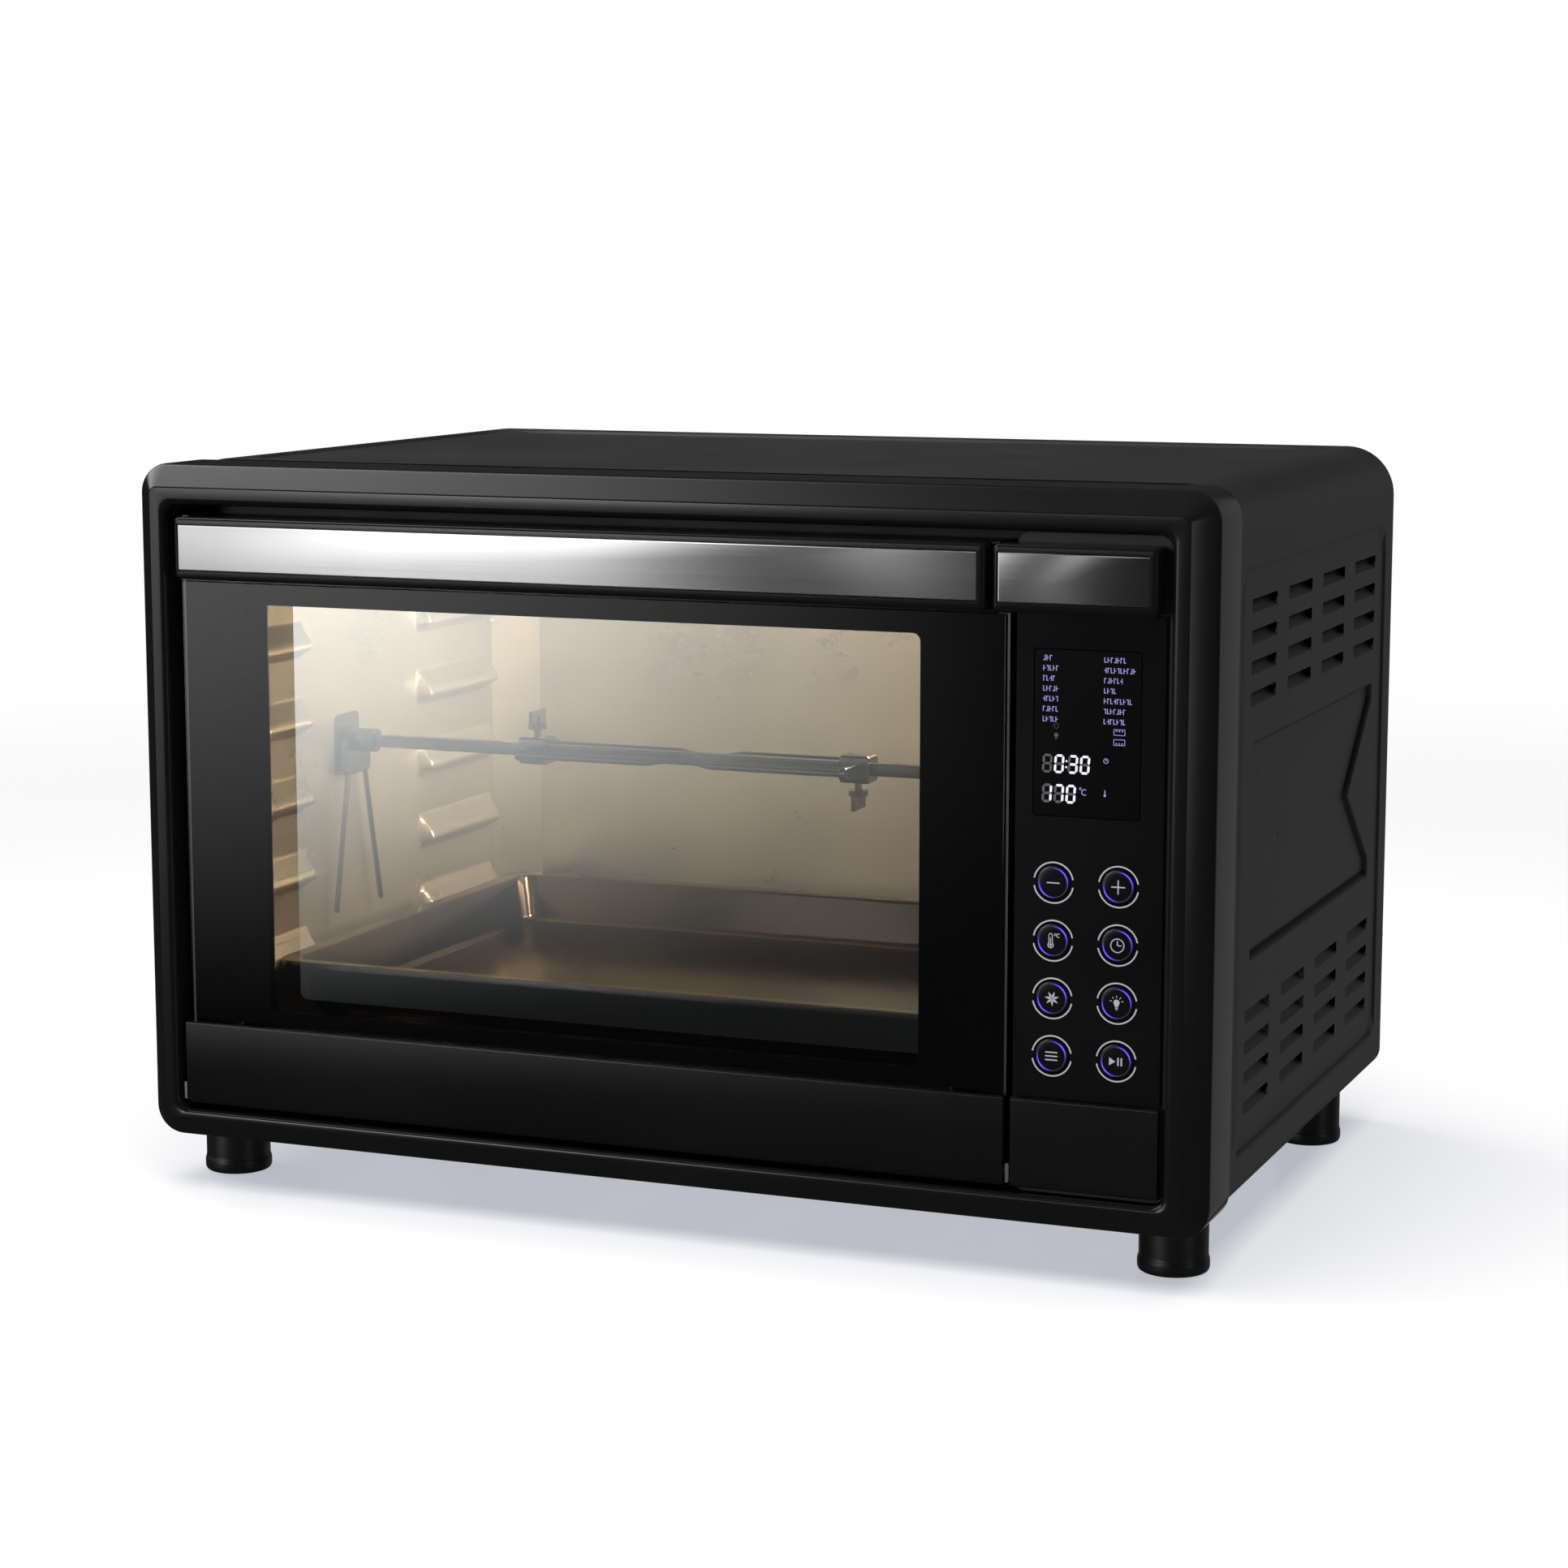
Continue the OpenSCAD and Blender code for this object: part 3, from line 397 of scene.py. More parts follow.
class Value:
    """One socket of a shader tree. Arithmetic on it adds Math nodes."""

    def __init__(self, tree: "Tree", socket: bpy.types.NodeSocket) -> None:
        """Keeps the tree and the socket."""
        self.tree = tree
        self.socket = socket

    def maths(self, operation: str, *others: "Value | float") -> "Value":
        """The result of a Math operation on this value and others."""
        inputs = dict(enumerate([self, *others]))
        return self.tree.add("ShaderNodeMath", {"operation": operation}, inputs)

    def __add__(self, other: "Value | float") -> "Value":
        """Sum."""
        return self.maths("ADD", other)

    __radd__ = __add__

    def __sub__(self, other: "Value | float") -> "Value":
        """Difference."""
        return self.maths("SUBTRACT", other)

    def __rsub__(self, other: float) -> "Value":
        """Difference with the value second."""
        return self.tree.add("ShaderNodeMath", {"operation": "SUBTRACT"}, {0: other, 1: self})

    def __mul__(self, other: "Value | float") -> "Value":
        """Product."""
        return self.maths("MULTIPLY", other)

    __rmul__ = __mul__

    def __pow__(self, power: float) -> "Value":
        """Power."""
        return self.maths("POWER", power)

    def ease(self, start: float, end: float) -> "Value":
        """Smooth step from 0 at start to 1 at end."""
        settings = {"interpolation_type": "SMOOTHSTEP"}
        return self.tree.add("ShaderNodeMapRange", settings, {0: self, 1: start, 2: end})


class Tree:
    """Shader nodes of one material or of the world."""

    def __init__(self, owner: bpy.types.Material | bpy.types.World, output: str) -> None:
        """Clears the owner's nodes and adds its output node."""
        owner.use_nodes = True
        self.nodes = owner.node_tree.nodes
        self.links = owner.node_tree.links
        self.nodes.clear()
        self.output = self.nodes.new(output)

    def add(self, kind: str, settings: dict[str, object] | None = None,
            inputs: dict[str | int, object] | None = None, output: str | int = 0) -> Value:
        """Adds a node.

        Args:
            kind: The node's type.
            settings: Its properties, set first.
            inputs: Values or links of its sockets, by name or number.
            output: The output wanted, by name or number.

        Returns:
            That output.
        """
        node = self.nodes.new(kind)
        for key, value in (settings or {}).items():
            setattr(node, key, value)
        self.feed(node, inputs or {})
        return Value(self, node.outputs[output])

    def feed(self, node: bpy.types.Node, inputs: dict[str | int, object]) -> None:
        """Links or sets a node's inputs, by name or number."""
        for key, value in inputs.items():
            if isinstance(value, Value):
                self.links.new(value.socket, node.inputs[key])
            elif isinstance(value, tuple) and len(value) == 3 and node.inputs[key].type == "RGBA":
                node.inputs[key].default_value = (*value, 1.0)
            else:
                node.inputs[key].default_value = value

    def place(self) -> Value:
        """Object coordinates, in metres."""
        return self.add("ShaderNodeTexCoord", output="Object")

    def noise(self, scale: float | tuple[float, float, float], detail: float = 3.0,
              rough: float = 0.5) -> Value:
        """Noise from 0 to 1 on Object coordinates, stretched if the scale has three parts."""
        stretch = scale if isinstance(scale, tuple) else (scale, scale, scale)
        where = self.add("ShaderNodeMapping", inputs={"Vector": self.place(), "Scale": stretch})
        inputs = {"Vector": where, "Scale": 1.0, "Detail": detail, "Roughness": rough}
        return self.add("ShaderNodeTexNoise", inputs=inputs)

    def blend(self, factor: Value, first: object, second: object) -> Value:
        """Mixes two colours."""
        settings = {"data_type": "RGBA"}
        inputs = {"Factor": factor, 6: first, 7: second}
        return self.add("ShaderNodeMix", settings, inputs, output=2)

    def bump(self, height: Value, strength: float, distance: float) -> Value:
        """Normal bent by a height, its distance in millimetres."""
        inputs = {"Height": height, "Strength": strength, "Distance": distance * MM}
        return self.add("ShaderNodeBump", inputs=inputs, output="Normal")

    def principled(self, **inputs: object) -> Value:
        """Principled surface; names use _ for a space."""
        named = {key.replace("_", " "): value for key, value in inputs.items()}
        return self.add("ShaderNodeBsdfPrincipled", inputs=named)

    def finish(self, surface: Value) -> None:
        """Shows a shader."""
        self.feed(self.output, {"Surface": surface})


@dataclass(frozen=True)
class Finish:
    """A material of the oven, and the record's slot that it belongs to."""

    name: str
    slot: str

    def shade(self, tree: Tree) -> Value:
        """Builds the surface shader; each finish has its own."""
        raise NotImplementedError

    def material(self) -> bpy.types.Material:
        """The Blender material, made the first time it is asked for."""
        title = f"finish_{self.name}"
        found = bpy.data.materials.get(title)
        if found is None:
            found = bpy.data.materials.new(title)
            tree = Tree(found, "ShaderNodeOutputMaterial")
            tree.finish(self.shade(tree))
        return found

    def dress(self, *nodes: str) -> None:
        """Puts this finish on CAD nodes."""
        for node in nodes:
            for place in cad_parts[node].material_slots:
                place.material = self.material()
            LOG.info("dressed %s with %s", node, self.name)


@dataclass(frozen=True)
class Coating(Finish):
    """Paint, plastic or rubber: a fine grain in the surface, and cloudy changes of gloss."""

    colour: Colour = (0.01, 0.01, 0.011)
    gloss: float = 0.35
    cloud: float = 0.06
    grain: float = 0.02
    grain_scale: float = 1800.0
    tint: float = 1.35
    shine: float = 0.5
    # weight of the painted shade that darkens the coating beside pressed steps
    painted_shade: float = 0.0

    def shade(self, tree: Tree) -> Value:
        """Roughness is gloss plus a cloudy noise; the normal follows a fine grain. Where the piece
        carries painted shade beside its pressed steps, the surface turns towards a matt black."""
        clouds = tree.noise(9.0, 4.0)
        grain = tree.noise(self.grain_scale, 2.0)
        worn = tuple(min(1.0, c * self.tint) for c in self.colour)
        colour = tree.blend(clouds.ease(0.35, 0.75), self.colour, worn)
        rough = self.gloss + self.cloud * (clouds - 0.5) + 0.05 * (grain - 0.5)
        paint = tree.principled(Base_Color=colour, Roughness=rough,
                                Specular_IOR_Level=self.shine,
                                Normal=tree.bump(grain, self.grain, 0.2))
        if self.painted_shade == 0:
            return paint
        # painted shade: a matt black mixed in where the piece's attribute holds shade beside its
        # steps
        painted_light = tree.add("ShaderNodeAttribute", {"attribute_name": "painted_light"}, output="Fac")
        painted_shade_surface = tree.principled(Base_Color=(0.003, 0.003, 0.003), Roughness=0.8,
                                Specular_IOR_Level=0.1)
        return tree.add("ShaderNodeMixShader", inputs={0: painted_light * self.painted_shade, 1: paint,
                                                       2: painted_shade_surface})


@dataclass(frozen=True)
class Metal(Finish):
    """Sheet or bar of metal: stains of tone, smudges of gloss and drawn or brushed lines."""

    colour: Colour = (0.62, 0.61, 0.6)
    gloss: float = 0.3
    smudge: float = 0.12
    brushed: tuple[float, float, float] = (40.0, 40.0, 40.0)
    depth: float = 0.05
    metallic: float = 1.0
    tone: float = 0.8
    drawn_out: float = 0.0

    def shade(self, tree: Tree) -> Value:
        """Brushed lines are noise stretched along one axis; tone and gloss follow a cloud."""
        clouds = tree.noise(14.0, 5.0)
        scratches = tree.noise(self.brushed, 3.0, 0.6)
        dull = tuple(c * self.tone for c in self.colour)
        colour = tree.blend(clouds.ease(0.3, 0.7), dull, self.colour)
        rough = self.gloss + self.smudge * (clouds - 0.5) + 0.1 * (scratches - 0.5)
        return tree.principled(Base_Color=colour, Metallic=self.metallic, Roughness=rough,
                               Anisotropic=self.drawn_out, Anisotropic_Rotation=0.25,
                               Normal=tree.bump(scratches, self.depth, 0.1))


@dataclass(frozen=True)
class Pane(Finish):
    """Flat clear glass: what it lets through, mixed with a mirror that grows when seen edge on."""

    facing: float = 0.045
    tint: Colour = (0.93, 0.95, 0.96)
    mirror: Colour = (1.0, 1.0, 1.0)

    def shade(self, tree: Tree) -> Value:
        """Mirror share is facing + (1 - facing) edge^5 on the outward side of each sheet, with
        faint smears in its gloss."""
        edge = tree.add("ShaderNodeLayerWeight", inputs={"Blend": 0.5}, output="Facing")
        outward = 1.0 - tree.add("ShaderNodeNewGeometry", output="Backfacing")
        share = outward * (self.facing + (1.0 - self.facing) * edge ** 5.0)
        smears = tree.noise((5.0, 5.0, 11.0), 4.0, 0.6)
        rough = 0.02 + 0.05 * (smears.ease(0.45, 0.8))
        mirror = tree.principled(Base_Color=self.mirror, Metallic=1.0, Roughness=rough)
        clear = tree.add("ShaderNodeBsdfTransparent", inputs={"Color": self.tint})
        return tree.add("ShaderNodeMixShader", inputs={0: share, 1: clear, 2: mirror})


@dataclass(frozen=True)
class Glow(Finish):
    """Lit print: dark ink with a light of its own, a little uneven as light guides are."""

    colour: Colour = (1.0, 1.0, 1.0)
    power: float = 1.0
    glint_lobes: bool = False

    def shade(self, tree: Tree) -> Value:
        """Light is the colour times an uneven noise, or times two painted glints round a ring."""
        uneven = 0.85 + 0.3 * (tree.noise(700.0, 2.0) - 0.5)
        if self.glint_lobes:
            # painted glints: the ring's light gathered at its upper right and lower left
            painted_light = tree.add("ShaderNodeAttribute", {"attribute_name": "painted_light"}, output="Fac")
            uneven = painted_light ** 5.0
        light = tree.blend(uneven, (0.0, 0.0, 0.0), self.colour)
        return tree.principled(Base_Color=(0.02, 0.02, 0.025), Roughness=0.3,
                               Emission_Color=light, Emission_Strength=self.power)


@dataclass(frozen=True)
class Circuit(Finish):
    """Circuit board: green lacquer with paler tracks."""

    def shade(self, tree: Tree) -> Value:
        """Tracks are where a stretched wave is high; they stand a little proud."""
        where = tree.add("ShaderNodeMapping", inputs={"Vector": tree.place(),
                                                      "Scale": (300.0, 300.0, 300.0)})
        cells = tree.add("ShaderNodeTexVoronoi", {"distance": "CHEBYCHEV"},
                         {"Vector": where, "Scale": 0.6}, output="Distance")
        tracks = cells.ease(0.35, 0.42)
        colour = tree.blend(tracks, (0.008, 0.09, 0.03), (0.03, 0.2, 0.07))
        return tree.principled(Base_Color=colour, Roughness=0.35,
                               Normal=tree.bump(tracks, 0.3, 0.1))


class Finishes:
    """Every finish of the oven."""

    # the sides turn matt black where painted shade lies beside their pressed steps
    wrap = Coating("wrap_paint", "wrap_paint", (0.012, 0.012, 0.012), 0.4, 0.05, 0.05, 900.0,
                   painted_shade=0.9)
    rear = Coating("rear_paint", "rear_paint", (0.012, 0.012, 0.012), 0.5, 0.05, 0.06, 900.0)
    bezel = Coating("bezel_plastic", "bezel_plastic", (0.005, 0.005, 0.0055), 0.15, 0.03, 0.01,
                    shine=0.42)
    door = Coating("door_plastic", "door_plastic", (0.004, 0.004, 0.0045), 0.17, 0.03, 0.01,
                   shine=0.3)
    seam = Coating("seam_rubber", "seam_rubber", (0.004, 0.004, 0.004), 0.7, 0.05, 0.05)
    foot = Coating("foot_rubber", "foot_rubber", (0.008, 0.008, 0.008), 0.38, 0.08, 0.06, 700.0)
    housing = Coating("panel_plastic", "panel_plastic", (0.006, 0.006, 0.006), 0.4, 0.05, 0.03)
    fascia = Coating("fascia_gloss", "fascia", (0.004, 0.004, 0.0045), 0.1, 0.03, 0.004)
    display = Coating("display_glass", "display", (0.0006, 0.0006, 0.0009), 0.22, 0.04, 0.004,
                      shine=0.2)
    mask = Coating("printed_mask", "door_glass", (0.0015, 0.0015, 0.0018), 0.5, 0.05, 0.0,
                   shine=0.03)
    button = Coating("button_cap", "button_cap", (0.004, 0.004, 0.005), 0.12, 0.03, 0.004)
    glass = Pane("door_glass", "door_glass", 0.05)
    inner_glass = Pane("inner_glass", "inner_glass", 0.63, (0.93, 0.94, 0.95), (1.0, 0.985, 0.955))
    lamp_glass = Pane("lamp_glass", "lamp_glass", 0.08, (0.97, 0.96, 0.92))
    plate = Metal("brushed_plate", "brushed_plate", (0.52, 0.52, 0.525), 0.17, 0.02,
                  (3.0, 200.0, 2600.0), 0.008, tone=0.95, drawn_out=0.95)
    base = Metal("base_steel", "base_steel", (0.55, 0.55, 0.54), 0.38)
    cavity = Metal("cavity_steel", "cavity_steel", (0.7, 0.66, 0.6), 0.3, 0.14,
                   (60.0, 60.0, 90.0), 0.02, metallic=0.9, tone=0.85)
    face = Metal("face_steel", "face_steel", (0.03, 0.03, 0.03), 0.45, metallic=0.5)
    crumb = Metal("crumb_steel", "crumb_steel", (0.5, 0.47, 0.42), 0.3)
    motor = Metal("motor_steel", "motor_steel", (0.5, 0.5, 0.5), 0.4)
    spit = Metal("spit_steel", "spit_steel", (0.3, 0.31, 0.33), 0.2, 0.08, (8.0, 300.0, 300.0))
    hinge = Metal("hinge_steel", "hinge_steel", (0.75, 0.75, 0.75), 0.25)
    door_steel = Metal("door_steel", "door_steel", (0.16, 0.16, 0.17), 0.34, 0.1)
    fan = Metal("fan_steel", "fan_steel", (0.6, 0.6, 0.58), 0.35)
    tray = Metal("tray_enamel", "tray_enamel", (0.24, 0.21, 0.19), 0.17, 0.08,
                 (90.0, 90.0, 90.0), 0.04, tone=0.7)
    heater = Metal("heater_tube", "heater_tube", (0.12, 0.115, 0.11), 0.45, metallic=0.8)
    ceramic = Coating("ceramic", "ceramic", (0.78, 0.76, 0.7), 0.5, 0.05, 0.05, 600.0, 1.05)
    bulb = Glow("lamp_bulb", "lamp_bulb", (1.0, 0.72, 0.4), 2.5)
    white_light = Glow("digits_lit", "display", (0.9, 0.9, 1.0), 1.15)
    violet_light = Glow("labels_lit", "display", (0.42, 0.36, 0.85), 0.9)
    ghost = Coating("digits_unlit", "display", (0.075, 0.075, 0.08), 0.4, 0.04, 0.01)
    print_white = Coating("ring_print", "fascia", (0.42, 0.43, 0.46), 0.3, 0.04, 0.01, 900.0, 1.1)
    icon = Glow("icon_print", "button_cap", (0.8, 0.82, 0.9), 0.55)
    # the button rings glow only in two painted glints, at the upper right and lower left
    halo = Glow("button_halo", "button_cap", (0.12, 0.05, 1.0), 1.8, True)
    circuit = Circuit("circuit_board", "circuit_board")


# ---------------------------------------------------------------- outer body


@dataclass
class SideFigure:
    """Sunk panel, waisted figure and louvres pressed into each side, in depth and height."""

    panel_low: tuple[float, float] = (51.0, 52.0)
    panel_high: tuple[float, float] = (352.0, 331.5)
    panel_radius: float = 15.0
    press: float = 1.1
    press_width: float = 2.4
    waist_low: tuple[float, float] = (82.0, 144.0)
    waist_high: tuple[float, float] = (329.0, 247.0)
    waist_height: float = 194.0
    waist_dent: float = 52.0
    waist_straight: float = 8.0
    waist_press: float = 2.3
    louvre_size: tuple[float, float] = (46.0, 6.5)
    louvre_depths: tuple[float, ...] = (97.0, 167.6, 238.3, 308.9)
    louvre_top: float = 313.2
    louvre_low: float = 116.6
    louvre_pitch: float = 14.7
    louvre_rows: int = 4
    louvre_in: float = 5.0
    lip: float = 0.05
    shade_depth: float = 4.2
    shade_height: float = 2.6

    def heights(self) -> list[float]:
        """Middle heights of the rows of louvres."""
        return [start - i * self.louvre_pitch for start in (self.louvre_top, self.louvre_low)
                for i in range(self.louvre_rows)]

    def depth_lines(self, front: float, back: float) -> Array:
        """Grid lines along the depth, close together at each edge that is pressed in."""
        half = self.louvre_size[0] / 2
        ends = [d + side * half for d in self.louvre_depths for side in (-1, 1)]
        fine = [(e - 1.2, e + 1.2, 0.6) for e in ends]
        fine += [(d - 3, d + 3, 0.8) for d in (self.panel_low[0], self.panel_high[0])]
        fine.append((self.waist_low[0] - 3, self.waist_low[0] + self.waist_dent + 3, 1.3))
        fine.append((self.waist_high[0] - self.waist_dent - 3, self.waist_high[0] + 3, 1.3))
        return lines(front, back, 9.0, fine, [])

    def height_lines(self, low: float, high: float) -> Array:
        """Grid lines up the side, with two at the open edge of each louvre."""
        half = self.louvre_size[1] / 2
        rows = self.heights()
        exact = [h + half for h in rows] + [h + half - self.lip for h in rows]
        exact += [h - half for h in rows]
        fine = [(h - half, h + half, 1.3) for h in rows]
        fine += [(b - 3, b + 3, 0.8) for b in (self.panel_low[1], self.panel_high[1])]
        fine.append((self.waist_low[1] - 3, self.waist_high[1] + 3, 1.6))
        return lines(low, high, 12.0, fine, exact)

    def louvre(self, depth: Array, height: Array) -> Array:
        """Scoops: each slopes in from its lower edge to its open upper edge, with steep ends."""
        half_w, half_h = self.louvre_size[0] / 2, self.louvre_size[1] / 2
        ends = sum(smooth((half_w + 0.6 - np.abs(depth - d)) / 1.2) for d in self.louvre_depths)
        slope = sum(np.where((height > h - half_h) & (height < h + half_h - self.lip / 2),
                             (height - h + half_h) / (2 * half_h), 0.0) for h in self.heights())
        return ends * np.clip(slope, 0, 1) ** 0.8

    def pressed(self, depth: Array, height: Array) -> Array:
        """How far the side lies below its outer face: the pressed panel and the waisted figure
        added up."""
        panel = rounded_box_distance(depth, height, self.panel_low, self.panel_high,
                                     self.panel_radius)
        (d0, z0), (d1, z1) = self.waist_low, self.waist_high
        slant = np.where(height > self.waist_height,
                         (z1 - self.waist_straight - height) / (z1 - self.waist_straight
                                                                - self.waist_height),
                         (height - z0 - self.waist_straight) / (self.waist_height - z0
                                                                - self.waist_straight))
        dent = self.waist_dent * np.clip(slant, 0, 1)
        lean = math.cos(math.atan(self.waist_dent / ((z1 - z0) / 2 - self.waist_straight)))
        nearest = np.minimum(np.minimum(depth - d0 - dent, d1 - dent - depth) * lean,
                             np.minimum(height - z0, z1 - height))
        return (self.press * fade_in(panel, self.press_width)
                + self.waist_press * fade_in(-nearest, self.press_width))

    def shadow(self, depth: Array, height: Array) -> Array:
        """Dark lines beside the steps, 0 to 1: broad where the side drops away behind a front
        or a lower edge, thin along the others. Each is the drop between a point and another
        one a little in front of it, below it or behind it."""
        here = self.pressed(depth, height)
        ahead = here - self.pressed(depth - self.shade_depth, height)
        below = here - self.pressed(depth, height - self.shade_height)
        behind = here - self.pressed(depth + self.press_width, height)
        return np.clip(0.42 * np.maximum(ahead, 0) + 0.55 * np.maximum(below, 0)
                       + 0.3 * np.maximum(behind, 0), 0.0, 1.0)

    def sunk(self, depth: Array, height: Array) -> Array:
        """The pressed shapes and the louvres added up."""
        return self.pressed(depth, height) + self.louvre_in * self.louvre(depth, height)


@dataclass
class OuterWrap:
    """Painted sheet round the top, the sides and the lower edges."""

    top_radius: float = 26.0
    low_radius: float = 10.0
    flange: float = 22.0
    hem: float = 8.0
    sheet: float = 1.0
    corner_steps: int = 12
    top_low: tuple[float, float] = (-250.0, 56.0)
    top_high: tuple[float, float] = (250.0, 352.0)
    top_radius_sunk: float = 14.0
    top_press: float = 1.6

    def build(self) -> None:
        """The sheet is its rounded section carried back, moved in along its own normal by
        the pressed depth at each point. The faces at the open upper edge and rear end of each
        louvre are left out."""
        side = SideFigure()
        low, high = box_mm("outer_wrap")
        front, back = low[1] - GLASS_Y, high[1] - GLASS_Y
        depth = side.depth_lines(front + 1.2, back - 1.2)
        right, z0, z1 = high[0], low[2], high[2]
        up = side.height_lines(z0 + self.low_radius, z1 - self.top_radius)
        across = lines(-right + self.top_radius, right - self.top_radius, 24.0,
                       [(e - 3, e + 3, 0.8) for e in (self.top_low[0], self.top_high[0])], [])
        x, z, nx, nz = self.section(right, z0, z1, up, across)
        on_side = (np.abs(nx) > 0.999)
        on_top = nz > 0.999
        d, zz = np.broadcast_to(depth[:, None], (len(depth), len(x))), z[None, :]
        sunk = np.where(on_side[None, :], side.sunk(d, zz), 0.0)
        top = rounded_box_distance(x[None, :] + 0 * d, d, self.top_low, self.top_high,
                                   self.top_radius_sunk)
        sunk = np.where(on_top[None, :], self.top_press * fade_in(top, 2.2), sunk)
        # painted shadow beside the pressed steps of each side, kept per point on the wrap
        shade = np.where(on_side[None, :], side.shadow(d, zz), 0.0)
        hem = [(front + self.hem, self.sheet), (front + 0.6, self.sheet), (front + 0.1, 0.7),
               (front, 0.45), (front + 0.12, 0.2), (front + 0.5, 0.02)]
        mirrored = [(back - (place - front), inset) for place, inset in reversed(hem)]
        rows_d = np.concatenate([[a for a, _ in hem], depth, [a for a, _ in mirrored]])
        flat = np.zeros((1, len(x)))
        inset = np.concatenate([flat + i for _, i in hem] + [sunk]
                               + [flat + i for _, i in mirrored])
        points = np.stack([x - inset * nx, rows_d[:, None] + GLASS_Y + 0 * inset,
                           z - inset * nz], axis=-1)
        keep = np.ones((len(rows_d) - 1, len(x) - 1), bool)
        scoop = side.louvre(d, zz) * on_side
        jump = np.abs(np.diff(scoop, axis=1))
        fall = scoop[:-1] - scoop[1:]
        cut = (jump[:-1] > 0.45) & (jump[1:] > 0.45) | (fall[:, :-1] + fall[:, 1:] > 0.3)
        keep[len(hem):len(hem) + len(depth) - 1] = ~cut
        surface = Surface()
        rim = np.zeros((len(hem), len(x)))
        surface.grid(points, keep=keep, painted_light=np.vstack([rim, shade, rim]))
        surface.piece("wrap_shell", Finishes.wrap, "cabinet", ("outer_wrap",), closed=False)

    def section(self, right: float, z0: float, z1: float, up: Array,
                across: Array) -> tuple[Array, Array, Array, Array]:
        """Section of the wrap, anticlockwise from its right lower flange: straight stretches
        joined by quarter circles.

        Args:
            right: Half of its width.
            z0: Its lowest height.
            z1: Its highest height.
            up: Lines up each side.
            across: Lines across the top.

        Returns:
            x, z and the outward normal's x and z at every line.
        """
        turn = np.linspace(0, math.pi / 2, self.corner_steps + 1)
        low_x, top_x = right - self.low_radius, right - self.top_radius
        low_z, top_z = z0 + self.low_radius, z1 - self.top_radius
        down = -math.pi / 2
        parts = [
            (np.array([right - self.flange, low_x - 0.1]), np.array([z0, z0]), 0 * turn[:2],
             -np.ones(2)),
            (low_x + self.low_radius * np.cos(turn + down),
             low_z + self.low_radius * np.sin(turn + down), np.cos(turn + down),
             np.sin(turn + down)),
            (right + 0 * up[1:-1], up[1:-1], 1 + 0 * up[1:-1], 0 * up[1:-1]),
            (top_x + self.top_radius * np.cos(turn), top_z + self.top_radius * np.sin(turn),
             np.cos(turn), np.sin(turn)),
        ]
        x, z, nx, nz = (np.concatenate([p[k] for p in parts]) for k in range(4))
        middle = across[1:-1][::-1]
        return (np.concatenate([x, middle, -x[::-1]]),
                np.concatenate([z, z1 + 0 * middle, z[::-1]]),
                np.concatenate([nx, 0 * middle, -nx[::-1]]),
                np.concatenate([nz, 1 + 0 * middle, nz[::-1]]))


@dataclass
class RearCover:
    """Rear plate with its boxed bulge and rows of vents. Each set of vents has its columns'
    places, the lowest row's height, the vents' width and the number of rows."""

    plate_back: float = 1.2
    bulge_low: tuple[float, float] = (-215.0, 75.0)
    bulge_high: tuple[float, float] = (215.0, 335.0)
    bulge_radius: float = 18.0
    bulge_width: float = 6.0
    sheet: float = 1.0
    top_radius: float = 24.7
    low_radius: float = 8.7
    vent_height: float = 5.0
    vent_pitch: float = 11.0
    bulge_vents: VentRows = ((-140.0, 0.0, 140.0), 167.0, 90.0, 8)
    plate_vents: VentRows = ((-150.0, -50.0, 50.0, 150.0), 48.0, 60.0, 2)

    def build(self) -> None:
        """A sheet over x and z whose depth is the bulge's height times a soft step at its
        outline. Its rows narrow where the corners are round, and vents are left out."""
        low, high = box_mm("rear_plate")
        bulge_back = box_mm("rear_bulge")[1][1]
        wrap_back = box_mm("outer_wrap")[1][1]
        plate_y = wrap_back - self.plate_back
        rise = bulge_back - plate_y
        vents = [(x, low_z + self.vent_pitch * i, width, self.vent_height)
                 for places, low_z, width, count in (self.bulge_vents, self.plate_vents)
                 for x in places for i in range(count)]
        x_edges = [x + side * w / 2 for x, _, w, _ in vents for side in (-1, 1)]
        z_edges = [z + side * h / 2 for _, z, _, h in vents for side in (-1, 1)]
        step = self.bulge_width
        x = lines(low[0], high[0], 18.0, [(e - step, e + step, 1.0) for e in
                                          (self.bulge_low[0], self.bulge_high[0])], x_edges)
        z = lines(low[2], high[2], 18.0, [(e - step, e + step, 1.0) for e in
                                          (self.bulge_low[1], self.bulge_high[1])]
                  + [(high[2] - self.top_radius, high[2], 2.0),
                     (low[2], low[2] + self.low_radius, 1.5)], z_edges)
        over = np.maximum(z - (high[2] - self.top_radius), 0)
        under = np.maximum(low[2] + self.low_radius - z, 0)
        trim = (self.top_radius - np.sqrt(np.maximum(self.top_radius ** 2 - over ** 2, 0))
                + self.low_radius - np.sqrt(np.maximum(self.low_radius ** 2 - under ** 2, 0)))
        share = (high[0] - trim) / high[0]
        xx = x[:, None] * share[None, :]
        zz = z[None, :] + 0 * xx
        edge = rounded_box_distance(xx, zz, self.bulge_low, self.bulge_high, self.bulge_radius)
        y = plate_y + rise * fade_in(edge + self.bulge_width / 2, self.bulge_width)
        points = np.stack([xx, y, zz], axis=-1)
        mid_x, mid_z = (x[1:] + x[:-1]) / 2, (z[1:] + z[:-1]) / 2
        keep = np.ones((len(x) - 1, len(z) - 1), bool)
        for vx, vz, w, h in vents:
            keep &= ~((np.abs(mid_x - vx) < w / 2)[:, None] & (np.abs(mid_z - vz) < h / 2)[None])
        surface = Surface()
        surface.grid(points[::-1], keep=keep[::-1])
        shell = surface.piece("rear_shell", Finishes.rear, "cabinet",
                              ("rear_plate", "rear_bulge"), closed=False)
        sheet_metal(shell, self.sheet)


